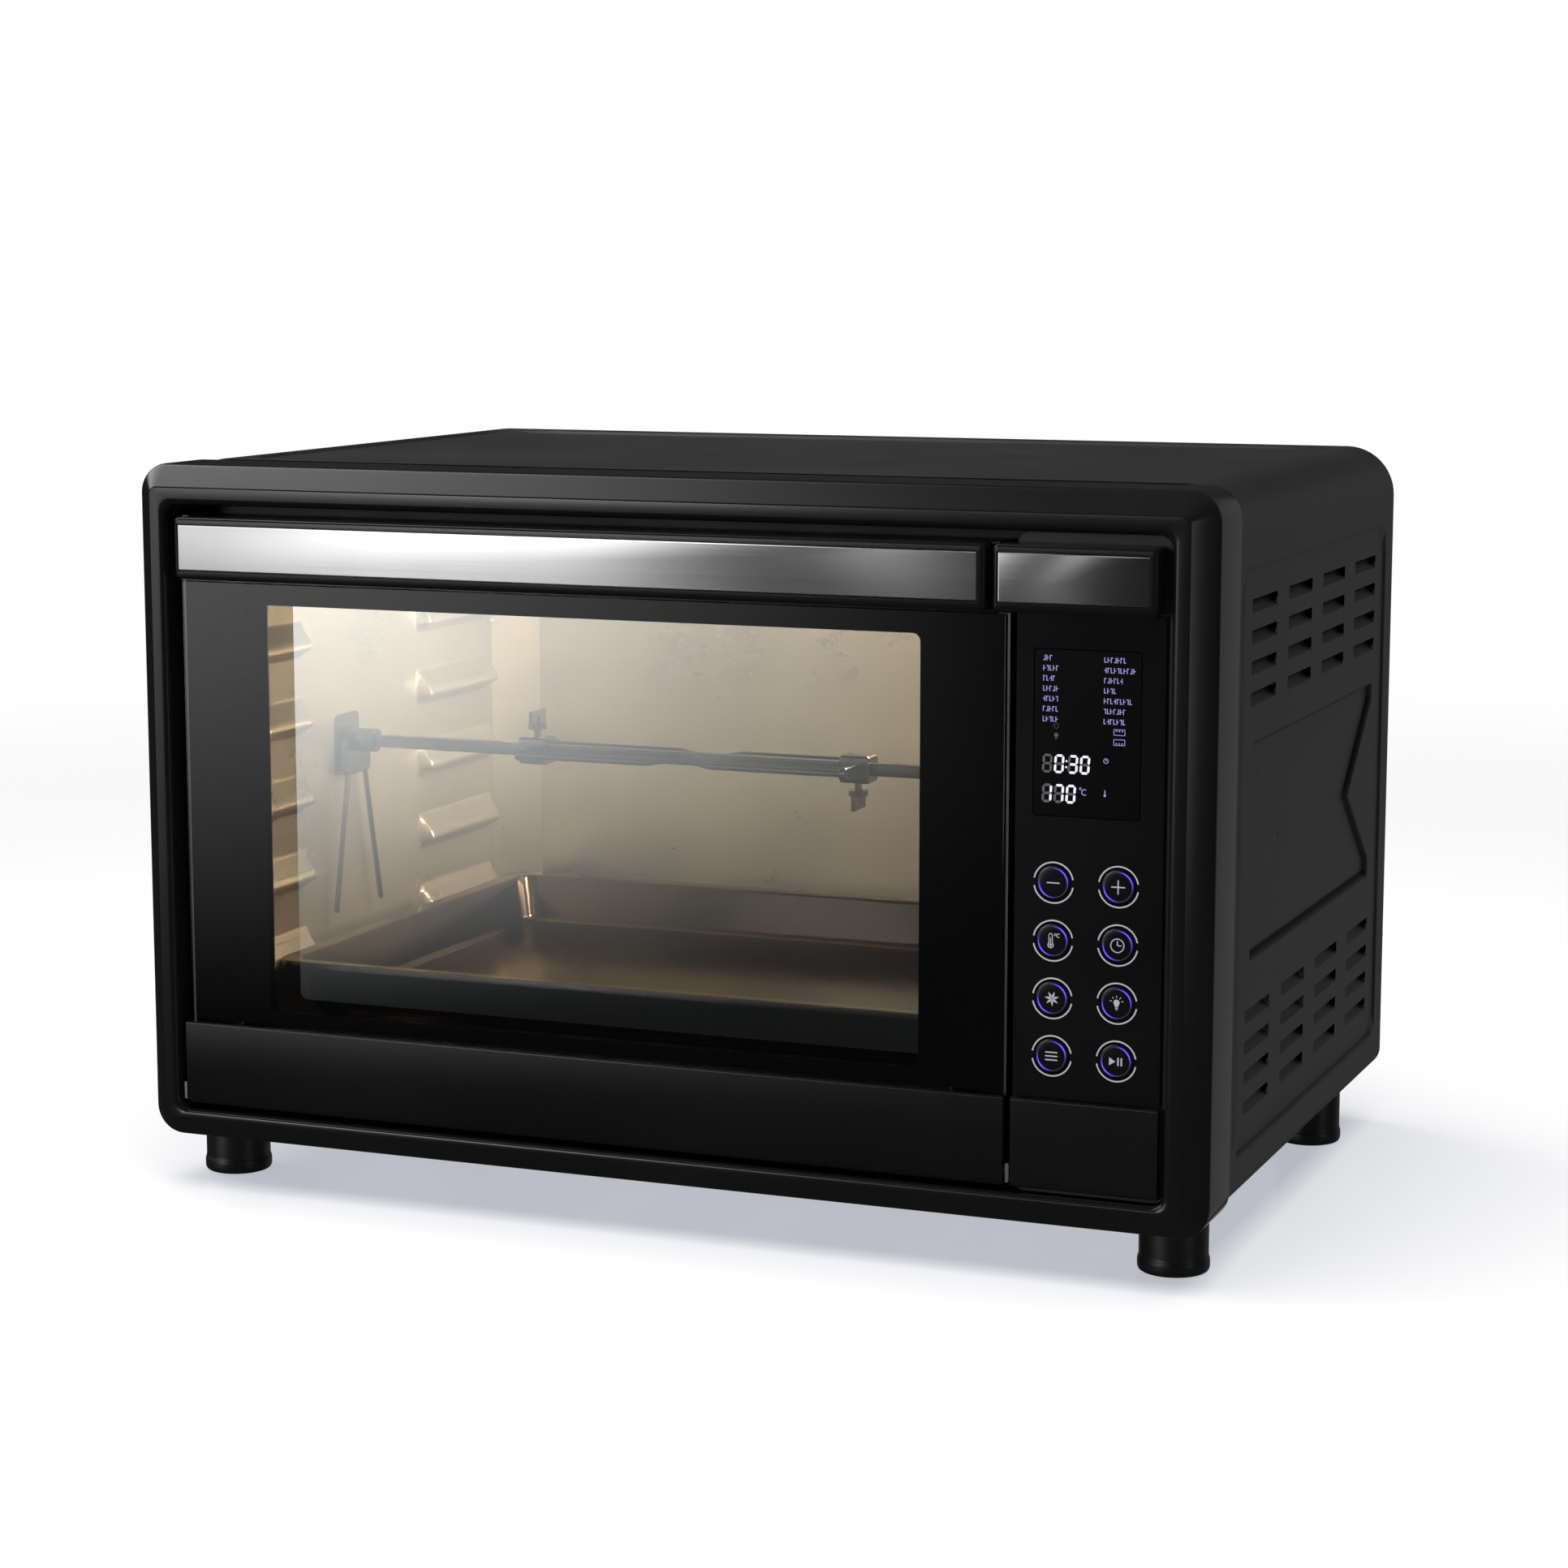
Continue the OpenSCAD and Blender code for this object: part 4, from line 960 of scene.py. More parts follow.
@dataclass
class FrontBezel:
    """Moulded ring round the door and the panel, bevelled on its outer edge."""

    corner_radius: float = 15.0
    bevel: float = 11.2
    opening: Rect = Rect(-261.0, 261.0, 41.3, 351.5, 7.0)
    collar_depth: float = 24.0
    wall: float = 3.0
    collar: float = 2.5

    def rect(self, inset: float) -> Rect:
        """The ring's outline at an inset: even as far as the bevel's end, then on towards
        the opening."""
        outer = front_rect("front_bezel", self.corner_radius)
        if inset <= self.bevel:
            return outer.inset(inset)
        width = self.opening.a0 - outer.a0
        return outer.inset(self.bevel).mix(self.opening, (inset - self.bevel)
                                           / (width - self.bevel))

    def build(self) -> None:
        """The ring is one closed profile of insets and depths carried round its outline."""
        low, high = box_mm("front_bezel")
        front, back = low[1] - GLASS_Y, high[1] - GLASS_Y
        width = self.opening.a0 - low[0]
        profile = soften(
            [(width, front + 5), (width, front), (self.bevel, front), (0.0, front + self.bevel),
             (0.0, back), (self.wall, back), (self.wall, front + self.bevel + 3),
             (width - self.collar, front + self.bevel + 3), (width - self.collar,
                                                             self.collar_depth),
             (width, self.collar_depth)],
            [0.0, 3.2, 0.7, 2.2, 1.0, 0.6, 0.8, 0.8, 0.4, 0.4], closed=True, steps=6)
        grid = loft([(self.rect(inset), GLASS_Y + depth) for inset, depth in profile],
                    Axis.Y, 12)
        surface = Surface()
        surface.grid(grid, wrap_rows=True, wrap_cols=True)
        surface.piece("bezel_ring", Finishes.bezel, "cabinet", ("front_bezel",))


@dataclass
class Feet:
    """Four rubber feet with a rounded sole and a shallow waist."""

    radius: float = 17.3
    sole: float = 3.0

    def build(self) -> None:
        """Each foot is a profile of radii and heights turned about its axis."""
        for node in ("foot_front_left", "foot_front_right", "foot_rear_left", "foot_rear_right"):
            low, high = box_mm(node)
            x = (low[0] + high[0]) / 2
            y = low[1] + self.radius
            top = min(high[2], front_rect("front_bezel").b0 if "front" in node else high[2])
            profile = soften([(0.0, 0.6), (self.radius - 7, 0.6), (self.radius - 7, 0.0),
                              (self.radius, 0.0), (self.radius, 6.0), (self.radius - 0.7, 8.0),
                              (self.radius - 0.7, top), (0.0, top)],
                             [0, 0.2, 0.2, self.sole, 0.8, 0.8, 0.3, 0], steps=6)
            surface = Surface()
            surface.closed_loft(lathe(profile, (x, y, 0.0), Axis.Z))
            surface.piece(node.replace("foot", "rubber_foot"), Finishes.foot, "cabinet", (node,))


# ---------------------------------------------------------------- cavity


@dataclass
class CavityWall:
    """Side wall of the cavity with its pressed tray runners."""

    node: str
    inwards: int
    holes: tuple[tuple[float, float, float], ...] = ()
    runner_low: float = 112.0
    runner_pitch: float = 40.5
    runner_count: int = 5
    runner_out: float = 8.0
    spans: tuple[tuple[float, float], ...] = ((28.0, 80.0), (206.0, 296.0))
    rounding: float = 5.0
    sheet: float = 0.8
    shell: float = 0.7

    def build(self) -> None:
        """The wall is a sheet over depth and height, standing out by the runners' section
        times a soft step at their ends."""
        low, high = box_mm(self.node)
        wall_x = low[0] + self.sheet if self.inwards > 0 else high[0] - self.sheet
        d0, d1 = low[1] - GLASS_Y, high[1] - GLASS_Y
        edges = [e for span in self.spans for e in span]
        depth = lines(d0, d1, 9.0, [(max(e - 6, d0), min(e + 6, d1), 0.8) for e in edges], [])
        levels = [self.runner_low + i * self.runner_pitch for i in range(self.runner_count)]
        height = lines(low[2], high[2], 12.0, [(z - 8, z + 14, 0.8) for z in levels], [])
        d, z = np.meshgrid(depth, height, indexing="ij")
        out = np.zeros_like(d)
        for level in levels:
            bump = np.interp(height, [level - 6.5, level - 2.2, level, level + 2.5, level + 12],
                             [0.0, 1.0, 1.0, 0.86, 0.0])
            bump = np.convolve(np.pad(bump, 1, mode="edge"), [0.25, 0.5, 0.25], "valid")
            ends = sum(smooth((d - a + 1) / self.rounding) * smooth((b + 1 - d) / self.rounding)
                       for a, b in self.spans)
            out += self.runner_out * bump[None, :] * ends
        points = np.stack([wall_x + self.inwards * out, d + GLASS_Y, z], axis=-1)
        mid_d = (depth[1:] + depth[:-1])[:, None] / 2
        mid_z = (height[1:] + height[:-1])[None, :] / 2
        keep = np.ones((len(depth) - 1, len(height) - 1), bool)
        for hole_d, hole_z, r in self.holes:
            keep &= np.hypot(mid_d - hole_d, mid_z - hole_z) > r
        order = 1 if self.inwards > 0 else -1
        surface = Surface()
        surface.grid(points[::order], keep=keep[::order])
        made = surface.piece(self.node + "_sheet", Finishes.cavity, "cabinet", (self.node,),
                             closed=False, sharp=50.0)
        sheet_metal(made, self.shell)


@dataclass
class BakingTray:
    """Enamelled tray with a rolled rim, sloping sides and a soft rim round its floor."""

    rim: float = 9.0
    slope: float = 6.0
    thickness: float = 1.0
    corner: float = 12.0

    def build(self) -> None:
        """Closed profile of insets and heights carried round a rounded rectangle: floor, side,
        rim and rolled edge, then back under them."""
        low, high = box_mm("baking_tray")
        outline = Rect(low[0], high[0], low[1], high[1], self.corner)
        top, floor = high[2], low[2] + self.thickness
        t = self.thickness
        foot = self.rim + self.slope
        over = soften([(foot + 34, floor + 0.5), (foot, floor + 0.3), (self.rim, top - 0.4),
                       (0.3, top), (0.0, top - 3.4), (0.7, top - 3.4), (1.2, top - t - 0.3),
                       (self.rim - 0.4, top - 0.6 - t), (foot - 0.6, floor - t),
                       (foot + 34, floor - t + 0.2)],
                      [0, 4.0, 1.6, 0.5, 0.3, 0.2, 0.4, 1.4, 3.4, 0], steps=6)
        sections = [(Rect(outline.a0 + i, outline.a1 - i, outline.b0 + i, outline.b1 - i,
                          max(self.corner - i * 0.35, 4.0)), z) for i, z in over]
        surface = Surface()
        surface.closed_loft(loft(sections, Axis.Z, 8))
        surface.piece("tray_shell", Finishes.tray, "tray", ("baking_tray",))


@dataclass
class Rotisserie:
    """Square rod with its journal, and forks with round tines."""

    side: float = 6.4
    tine_radius: float = 1.8
    tine_length: float = 72.0
    point: float = 9.0
    reach: float = 22.0
    journal: float = 6.3
    journal_neck: float = 4.0
    journal_length: float = 17.5

    def build(self) -> None:
        """Rod and hubs are lofts of rounded squares; tines are bars that taper to a point."""
        low, high = box_mm("spit_rod")
        y, z = (low[1] + high[1]) / 2, (low[2] + high[2]) / 2
        square_start = low[0] + 14.5
        half = self.side / 2
        bar = Rect(y - half, y + half, z - half, z + half, 0.7)
        surface = Surface()
        surface.closed_loft(loft([(bar.inset(0.5), square_start), (bar, square_start + 0.5),
                                  (bar, high[0] - 1), (bar.inset(1.0), high[0])], Axis.X))
        wide, neck, end = self.journal, self.journal_neck, self.journal_length
        journal = soften([(0, 0), (wide, 0), (wide, 2.5), (neck, 2.5), (neck, 6.5), (wide, 6.5),
                          (wide, end), (5.2, end), (0, end)],
                         [0, 0.8, 0.5, 0.3, 0.3, 0.8, 0.8, 0, 0], steps=4)
        surface.closed_loft(lathe(journal, (low[0], y, z), Axis.X, 32))
        surface.piece("spit_bar", Finishes.spit, "spit", ("spit_rod",))
        for node, out in (("spit_fork_left", 1), ("spit_fork_right", -1)):
            self.fork(node, out, y, z)

    def fork(self, node: str, out: int, y: float, z: float) -> None:
        """A hub, a cross arm and two pointed tines.

        Args:
            node: The CAD node that it stands for.
            out: The way the tines point along x.
            y: The rod's y.
            z: The rod's height.
        """
        low, high = box_mm(node)
        hub_x = low[0] + 8 if out > 0 else high[0] - 8
        hub = Rect(y - 7, y + 7, z - 7, z + 7, 1.6)
        arm = Rect(y - self.reach - 2, y + self.reach + 2, z - 3, z + 3, 2.8)
        surface = Surface()
        surface.closed_loft(loft([(hub.inset(0.8), hub_x - 8), (hub, hub_x - 7.2),
                                  (hub, hub_x + 7.2), (hub.inset(0.8), hub_x + 8)], Axis.X))
        surface.closed_loft(loft([(arm.inset(0.5), hub_x - 2), (arm, hub_x - 1.5),
                                  (arm, hub_x + 1.5), (arm.inset(0.5), hub_x + 2)], Axis.X))
        s = np.linspace(0, 1, 12)
        for side in (-1, 1):
            run = np.concatenate([s * self.tine_length, self.tine_length + s[1:] * self.point])
            path = np.stack([hub_x + out * run, 0 * run + y + side * self.reach, 0 * run + z], 1)
            taper = np.where(run > self.tine_length, 1 - 0.9 * (run - self.tine_length)
                             / self.point, 1.0)
            surface.closed_loft(tube(path, self.tine_radius * taper))
        surface.piece(node + "_form", Finishes.spit, "spit", (node,))


# ---------------------------------------------------------------- door


@dataclass
class Door:
    """Glass door: outer glass with its printed mask, strip, inner frame and pane."""

    window: Rect = Rect(-211.4, 138.2, 94.9, 301.9, 4.0)
    chamfer: float = 0.3
    notch_x: float = 176.5
    notch_z: float = 313.0

    def build(self) -> None:
        """Builds the glass, the mask and the strip, and dresses the rest."""
        self.glass()
        self.mask()
        self.strip("door_strip", "strip_moulding", Finishes.door, "door", 9.0)
        Finishes.inner_glass.dress("door_inner_glass")
        Finishes.door_steel.dress("door_inner_frame")

    def glass(self) -> None:
        """Outer glass: two slabs, the lower one wider, with ground edges."""
        low, high = box_mm("door_outer_glass")
        lower = Rect(low[0], high[0], low[2], self.notch_z, 0.8)
        upper = Rect(low[0], self.notch_x, self.notch_z, high[2], 0.8)
        surface = Surface()
        for slab in (lower, upper):
            surface.closed_loft(loft([
                (slab.inset(self.chamfer), low[1]), (slab, low[1] + self.chamfer),
                (slab, high[1] - self.chamfer), (slab.inset(self.chamfer), high[1])], Axis.Y, 3))
        surface.piece("door_glass_sheet", Finishes.glass, "door", ("door_outer_glass",))

    def mask(self) -> None:
        """Black ceramic print behind the glass, open at the window."""
        low, high = box_mm("door_outer_glass")
        y0, y1 = high[1] + 0.03, high[1] + 0.13
        outer = Rect(low[0] + 0.4, self.notch_x, low[2] + 0.4, high[2] - 0.4, 1.0)
        grid = loft([(self.window, y0), (outer, y0), (outer, y1), (self.window, y1)], Axis.Y, 8)
        surface = Surface()
        surface.grid(grid, wrap_rows=True, wrap_cols=True)
        side = Rect(self.notch_x - 0.1, high[0] - 0.4, low[2] + 0.4, self.notch_z - 0.4)
        surface.closed_loft(loft([(side, y0), (side, y1)], Axis.Y, 1))
        surface.piece("door_mask", Finishes.mask, "door")

    @staticmethod
    def strip(node: str, name: str, finish: Finish, body: str, shelf: float) -> None:
        """Moulding under the glass: its section in depth and height, carried along x.

        Args:
            node: The CAD node that it stands for.
            name: The piece's name.
            finish: Its finish.
            body: Its body.
            shelf: Depth of its lower edge behind the glass.
        """
        low, high = box_mm(node)
        front, z0, z1 = low[1], low[2], high[2]
        back = GLASS_Y + shelf
        outline = soften([(front, z0), (back, z0), (back, z0 + 12.8), (GLASS_Y + 0.5, z0 + 12.8),
                          (GLASS_Y + 0.5, z1), (front, z1)],
                         [2.6, 0.3, 0.3, 0.3, 0.3, 0.9], closed=True, steps=5)
        x = np.array([low[0], high[0]])
        points = np.stack([x[:, None] + 0 * outline[None, :, 0],
                           outline[None, :, 0] + 0 * x[:, None],
                           outline[None, :, 1] + 0 * x[:, None]], axis=-1)
        surface = Surface()
        surface.closed_loft(points)
        bevelled(surface.piece(name, finish, body, (node,)), 0.5)


@dataclass
class Pull:
    """Handle or trim: a moulding with rounded edges round a sunk brushed plate."""

    moulding: str
    plate: str
    body: str
    hollow: bool
    edge: float = 1.6
    corner: float = 2.6
    front_wall: float = 4.5
    end_wall: float = 4.0
    top_wall: float = 5.0
    pocket: float = 1.3
    plate_edge: float = 0.65
    trim_left: float = 178.7

    def build(self) -> None:
        """Builds the moulding and its plate."""
        low, high = box_mm(self.moulding)
        rect = front_rect(self.moulding, self.corner)
        if not self.hollow:
            rect = Rect(self.trim_left, high[0], rect.b0, rect.b1, self.corner)
        pocket = front_rect(self.plate, 0.9).inset(-0.12).rounded(1.0)
        front = low[1]
        wall_back = front + self.front_wall if self.hollow else GLASS_Y - 0.5
        e, bottom = self.edge, front + self.pocket
        turn = np.linspace(0, math.pi / 2, 6)
        rounding = [(rect.inset(e - e * math.sin(a)), front + e - e * math.cos(a)) for a in turn]
        sections = [(pocket.inset(0.15), bottom), (pocket, front + 0.35),
                    (pocket.inset(-0.25), front), *rounding, (rect, wall_back - 0.3),
                    (rect.inset(0.3), wall_back)]
        surface = Surface()
        surface.closed_loft(loft(sections, Axis.Y, 7))
        if self.hollow:
            self.walls(surface, rect, wall_back - 0.3)
        surface.piece(self.moulding + "_form", Finishes.door, self.body, (self.moulding,))
        self.steel(front_rect(self.plate, 0.9), front + 0.55, bottom)

    def walls(self, surface: Surface, rect: Rect, front: float) -> None:
        """Top and end walls behind a hollow pull: a flat bar bent round three sides.

        Args:
            surface: Gathers the faces.
            rect: The pull's outline.
            front: Where the walls start, as y.
        """
        ends, top = self.end_wall, self.top_wall
        r = self.corner
        outer = soften([(rect.a0, rect.b0), (rect.a0, rect.b1), (rect.a1, rect.b1),
                        (rect.a1, rect.b0)], [0, r, r, 0], steps=8)
        inner = soften([(rect.a0 + ends, rect.b0), (rect.a0 + ends, rect.b1 - top),
                        (rect.a1 - ends, rect.b1 - top), (rect.a1 - ends, rect.b0)],
                       [0, 1.5, 1.5, 0], steps=8)
        rows = [(outer, front), (outer, GLASS_Y), (inner, GLASS_Y), (inner, front)]
        grid = np.stack([upright(line[:, 0], y, line[:, 1]) for line, y in rows])
        index = surface.grid(grid, wrap_rows=True)
        surface.cap(index[:, 0])
        surface.cap(index[:, -1], back=True)

    def steel(self, rect: Rect, face: float, back: float) -> None:
        """Brushed plate with a bright turned edge.

        Args:
            rect: Its outline.
            face: y of its face.
            back: y of its back.
        """
        e = self.plate_edge
        sections = [(rect.inset(e + 0.15), face), (rect.inset(e * 0.6), face + 0.03),
                    (rect.inset(e * 0.2), face + 0.2), (rect, face + 0.45), (rect, back)]
        surface = Surface()
        surface.closed_loft(loft(sections, Axis.Y, 5))
        surface.piece(self.plate + "_steel", Finishes.plate, self.body, (self.plate,))


# ---------------------------------------------------------------- control panel


class Print(Surface):
    """Flat printed shapes on an upright face, a hair proud of it."""

    def __init__(self, y: float, thickness: float = 0.06) -> None:
        """Starts empty, on the face at y."""
        super().__init__()
        self.y = y
        self.front = y - thickness

    def shape(self, outline: Array) -> None:
        """Adds one closed outline of x and z, with its edge and front."""
        rows = [upright(outline[:, 0], y, outline[:, 1]) for y in (self.front, self.y)]
        index = self.grid(np.stack(rows), wrap_cols=True)
        self.cap(index[0])

    def bar(self, x: float, z: float, w: float, h: float, r: float = 0.2) -> None:
        """Adds a rounded bar centred at x and z."""
        self.shape(Rect(x - w / 2, x + w / 2, z - h / 2, z + h / 2, r).ring(3))

    def disc(self, x: float, z: float, r: float) -> None:
        """Adds a disc."""
        w = np.linspace(0, 2 * math.pi, 24, endpoint=False)
        self.shape(np.stack([x + r * np.cos(w), z + r * np.sin(w)], axis=1))

    def arc(self, x: float, z: float, r: tuple[float, float], turn: tuple[float, float],
            steps: int = 28, glint_lobes: bool = False) -> None:
        """Adds a band between two radii: rows at each radius, columns along the angle.

        Args:
            x: Centre.
            z: Centre.
            r: Inner and outer radius.
            turn: First and last angle in degrees, anticlockwise from +x.
            steps: Pieces along the band.
            glint_lobes: Marks the upper right and lower left with 1, fading between.
        """
        w = np.radians(np.linspace(turn[0], turn[1], steps + 1))
        full = turn[1] - turn[0] >= 360
        w = w[:-1] if full else w
        rows = [(r[0], self.y), (r[0], self.front), (r[1], self.front), (r[1], self.y)]
        grid = np.stack([upright(x + q * np.cos(w), y, z + q * np.sin(w)) for q, y in rows])
        # painted glints: 1 at the upper right and lower left of the ring, fading to 0 between
        painted_light = np.broadcast_to(np.abs(np.cos(w - math.radians(38))) if glint_lobes else w * 0,
                               grid.shape[:2])
        index = self.grid(grid, wrap_cols=full, painted_light=painted_light)
        if not full:
            self.cap(index[:, 0])
            self.cap(index[:, -1], back=True)


class Icon(Enum):
    """Picture on a button."""

    MINUS = "minus"
    PLUS = "plus"
    HEAT = "heat"
    CLOCK = "clock"
    FAN = "fan"
    LAMP = "lamp"
    MENU = "menu"
    PLAY = "play"


@dataclass
class IconSet:
    """Draws the button pictures with bars, bands and outlines. Each picture's method is named
    as its Icon."""

    line: float = 0.5

    def draw(self, ink: Print, icon: Icon, x: float, z: float) -> None:
        """Draws one picture.

        Args:
            ink: Gathers the shapes.
            icon: The picture.
            x: Its centre.
            z: Its centre.
        """
        getattr(self, icon.value)(ink, x, z)

    @staticmethod
    def turned(outline: Array, angle: float) -> Array:
        """An outline turned anticlockwise about its origin."""
        c, s = math.cos(angle), math.sin(angle)
        return outline @ np.array([[c, s], [-s, c]])

    def minus(self, ink: Print, x: float, z: float) -> None:
        """A bar."""
        ink.bar(x, z, 6.2, self.line + 0.1)

    def plus(self, ink: Print, x: float, z: float) -> None:
        """A cross outline."""
        a, b = 3.3, (self.line + 0.1) / 2
        corners = [(-a, -b), (-b, -b), (-b, -a), (b, -a), (b, -b), (a, -b), (a, b), (b, b),
                   (b, a), (-b, a), (-b, b), (-a, b)]
        ink.shape(np.array(corners) + (x, z))

    def heat(self, ink: Print, x: float, z: float) -> None:
        """A thermometer: bulb, stem and two marks beside it."""
        ink.arc(x - 0.9, z - 2.0, (1.0, 1.0 + self.line), (118, 422))
        ink.disc(x - 0.9, z - 2.0, 0.6)
        ink.arc(x - 0.9, z + 2.6, (0.62, 0.62 + self.line * 0.8), (0, 180))
        for side in (-1, 1):
            ink.bar(x - 0.9 + side * 0.82, z + 0.9, 0.4, 3.5)
        ink.bar(x - 0.9, z, 0.35, 3.0, 0.1)
        ink.arc(x + 1.3, z + 3.0, (0.3, 0.58), (0, 360), 16)
        ink.arc(x + 2.8, z + 2.6, (0.62, 1.0), (50, 310))

    def clock(self, ink: Print, x: float, z: float) -> None:
        """A dial with two hands."""
        ink.arc(x, z, (2.9, 2.9 + self.line), (0, 360), 40)
        ink.bar(x, z + 1.1, self.line, 2.3)
        ink.bar(x + 1.1, z, 1.8, self.line)

    def fan(self, ink: Print, x: float, z: float) -> None:
        """Seven swept blades round a hub."""
        blade = np.array([(0.5, 0.0), (1.7, -0.5), (3.6, 0.3), (1.9, 0.6), (0.7, 0.6)])
        for w in np.radians(np.arange(7) * 360 / 7 + 12):
            ink.shape(self.turned(blade, w) + (x, z))
        ink.arc(x, z, (0.25, 0.5), (0, 360), 16)

    def lamp(self, ink: Print, x: float, z: float) -> None:
        """A bulb on its cap, with rays above it."""
        w = np.radians(np.linspace(-50, 230, 22))
        globe = np.stack([1.45 * np.cos(w), 0.5 + 1.5 * np.sin(w)], axis=1)
        neck = np.array([(-0.75, -1.5), (0.75, -1.5)])
        ink.shape(np.concatenate([globe, neck]) + (x, z))
        ink.bar(x, z - 2.0, 1.4, 0.45, 0.15)
        ink.bar(x, z - 2.7, 1.1, 0.4, 0.15)
        for w in np.radians([15, 52, 90, 128, 165]):
            far = np.array([[2.3, -0.16], [3.4, -0.16], [3.4, 0.16], [2.3, 0.16]])
            ink.shape(self.turned(far, w) + (x, z + 0.5))

    def menu(self, ink: Print, x: float, z: float) -> None:
        """Three lines."""
        for step in (-1.8, 0.0, 1.8):
            ink.bar(x, z + step, 6.0, self.line + 0.1)

    def play(self, ink: Print, x: float, z: float) -> None:
        """A triangle and two bars."""
        ink.shape(np.array([(-3.2, -1.9), (-0.2, 0.0), (-3.2, 1.9)]) + (x, z))
        for side in (1.1, 2.7):
            ink.bar(x + side, z, 0.75, 3.8, 0.1)


@dataclass
class Button:
    """Push button: a domed cap, its picture and the ring round it, lit as two painted glints."""

    node: str
    body: str
    icon: Icon
    cap_radius: float = 8.0
    dome: float = 0.18
    halo: tuple[float, float] = (6.55, 7.15)
    ring: tuple[float, float] = (9.15, 9.85)
    ring_gap: float = 11.0

    def centre(self) -> tuple[float, float, float]:
        """The cap's centre and the y of its face."""
        low, high = box_mm(self.node)
        return (low[0] + high[0]) / 2, (low[2] + high[2]) / 2, low[1]

    def build(self, printed: Print, icons: IconSet) -> None:
        """Builds the cap and its prints, and adds the broken ring to the panel's print.

        Args:
            printed: The panel's print.
            icons: Draws the picture.
        """
        x, z, y = self.centre()
        back = box_mm(self.node)[1][1]
        r = self.cap_radius
        profile = soften([(0.0, 0.0), (5.2, 0.02), (r, self.dome), (r, back - y)],
                         [0, 1.2, 0.5, 0], steps=6)
        surface = Surface()
        surface.closed_loft(lathe(profile, (x, y, z), Axis.Y, 56))
        surface.piece(self.node + "_cap", Finishes.button, self.body, (self.node,))
        ink = Print(y + 0.02, 0.05)
        icons.draw(ink, self.icon, x, z)
        ink.piece(self.node + "_icon", Finishes.icon, self.body, closed=False)
        # the ring's light is two painted glints, upper right and lower left
        halo = Print(y + 0.12, 0.1)
        halo.arc(x, z, self.halo, (0, 360), 64, glint_lobes=True)
        halo.piece(self.node + "_halo", Finishes.halo, self.body, closed=False)
        for start in (0.0, 180.0):
            printed.arc(x, z, self.ring, (start + self.ring_gap, start + 180 - self.ring_gap), 40)


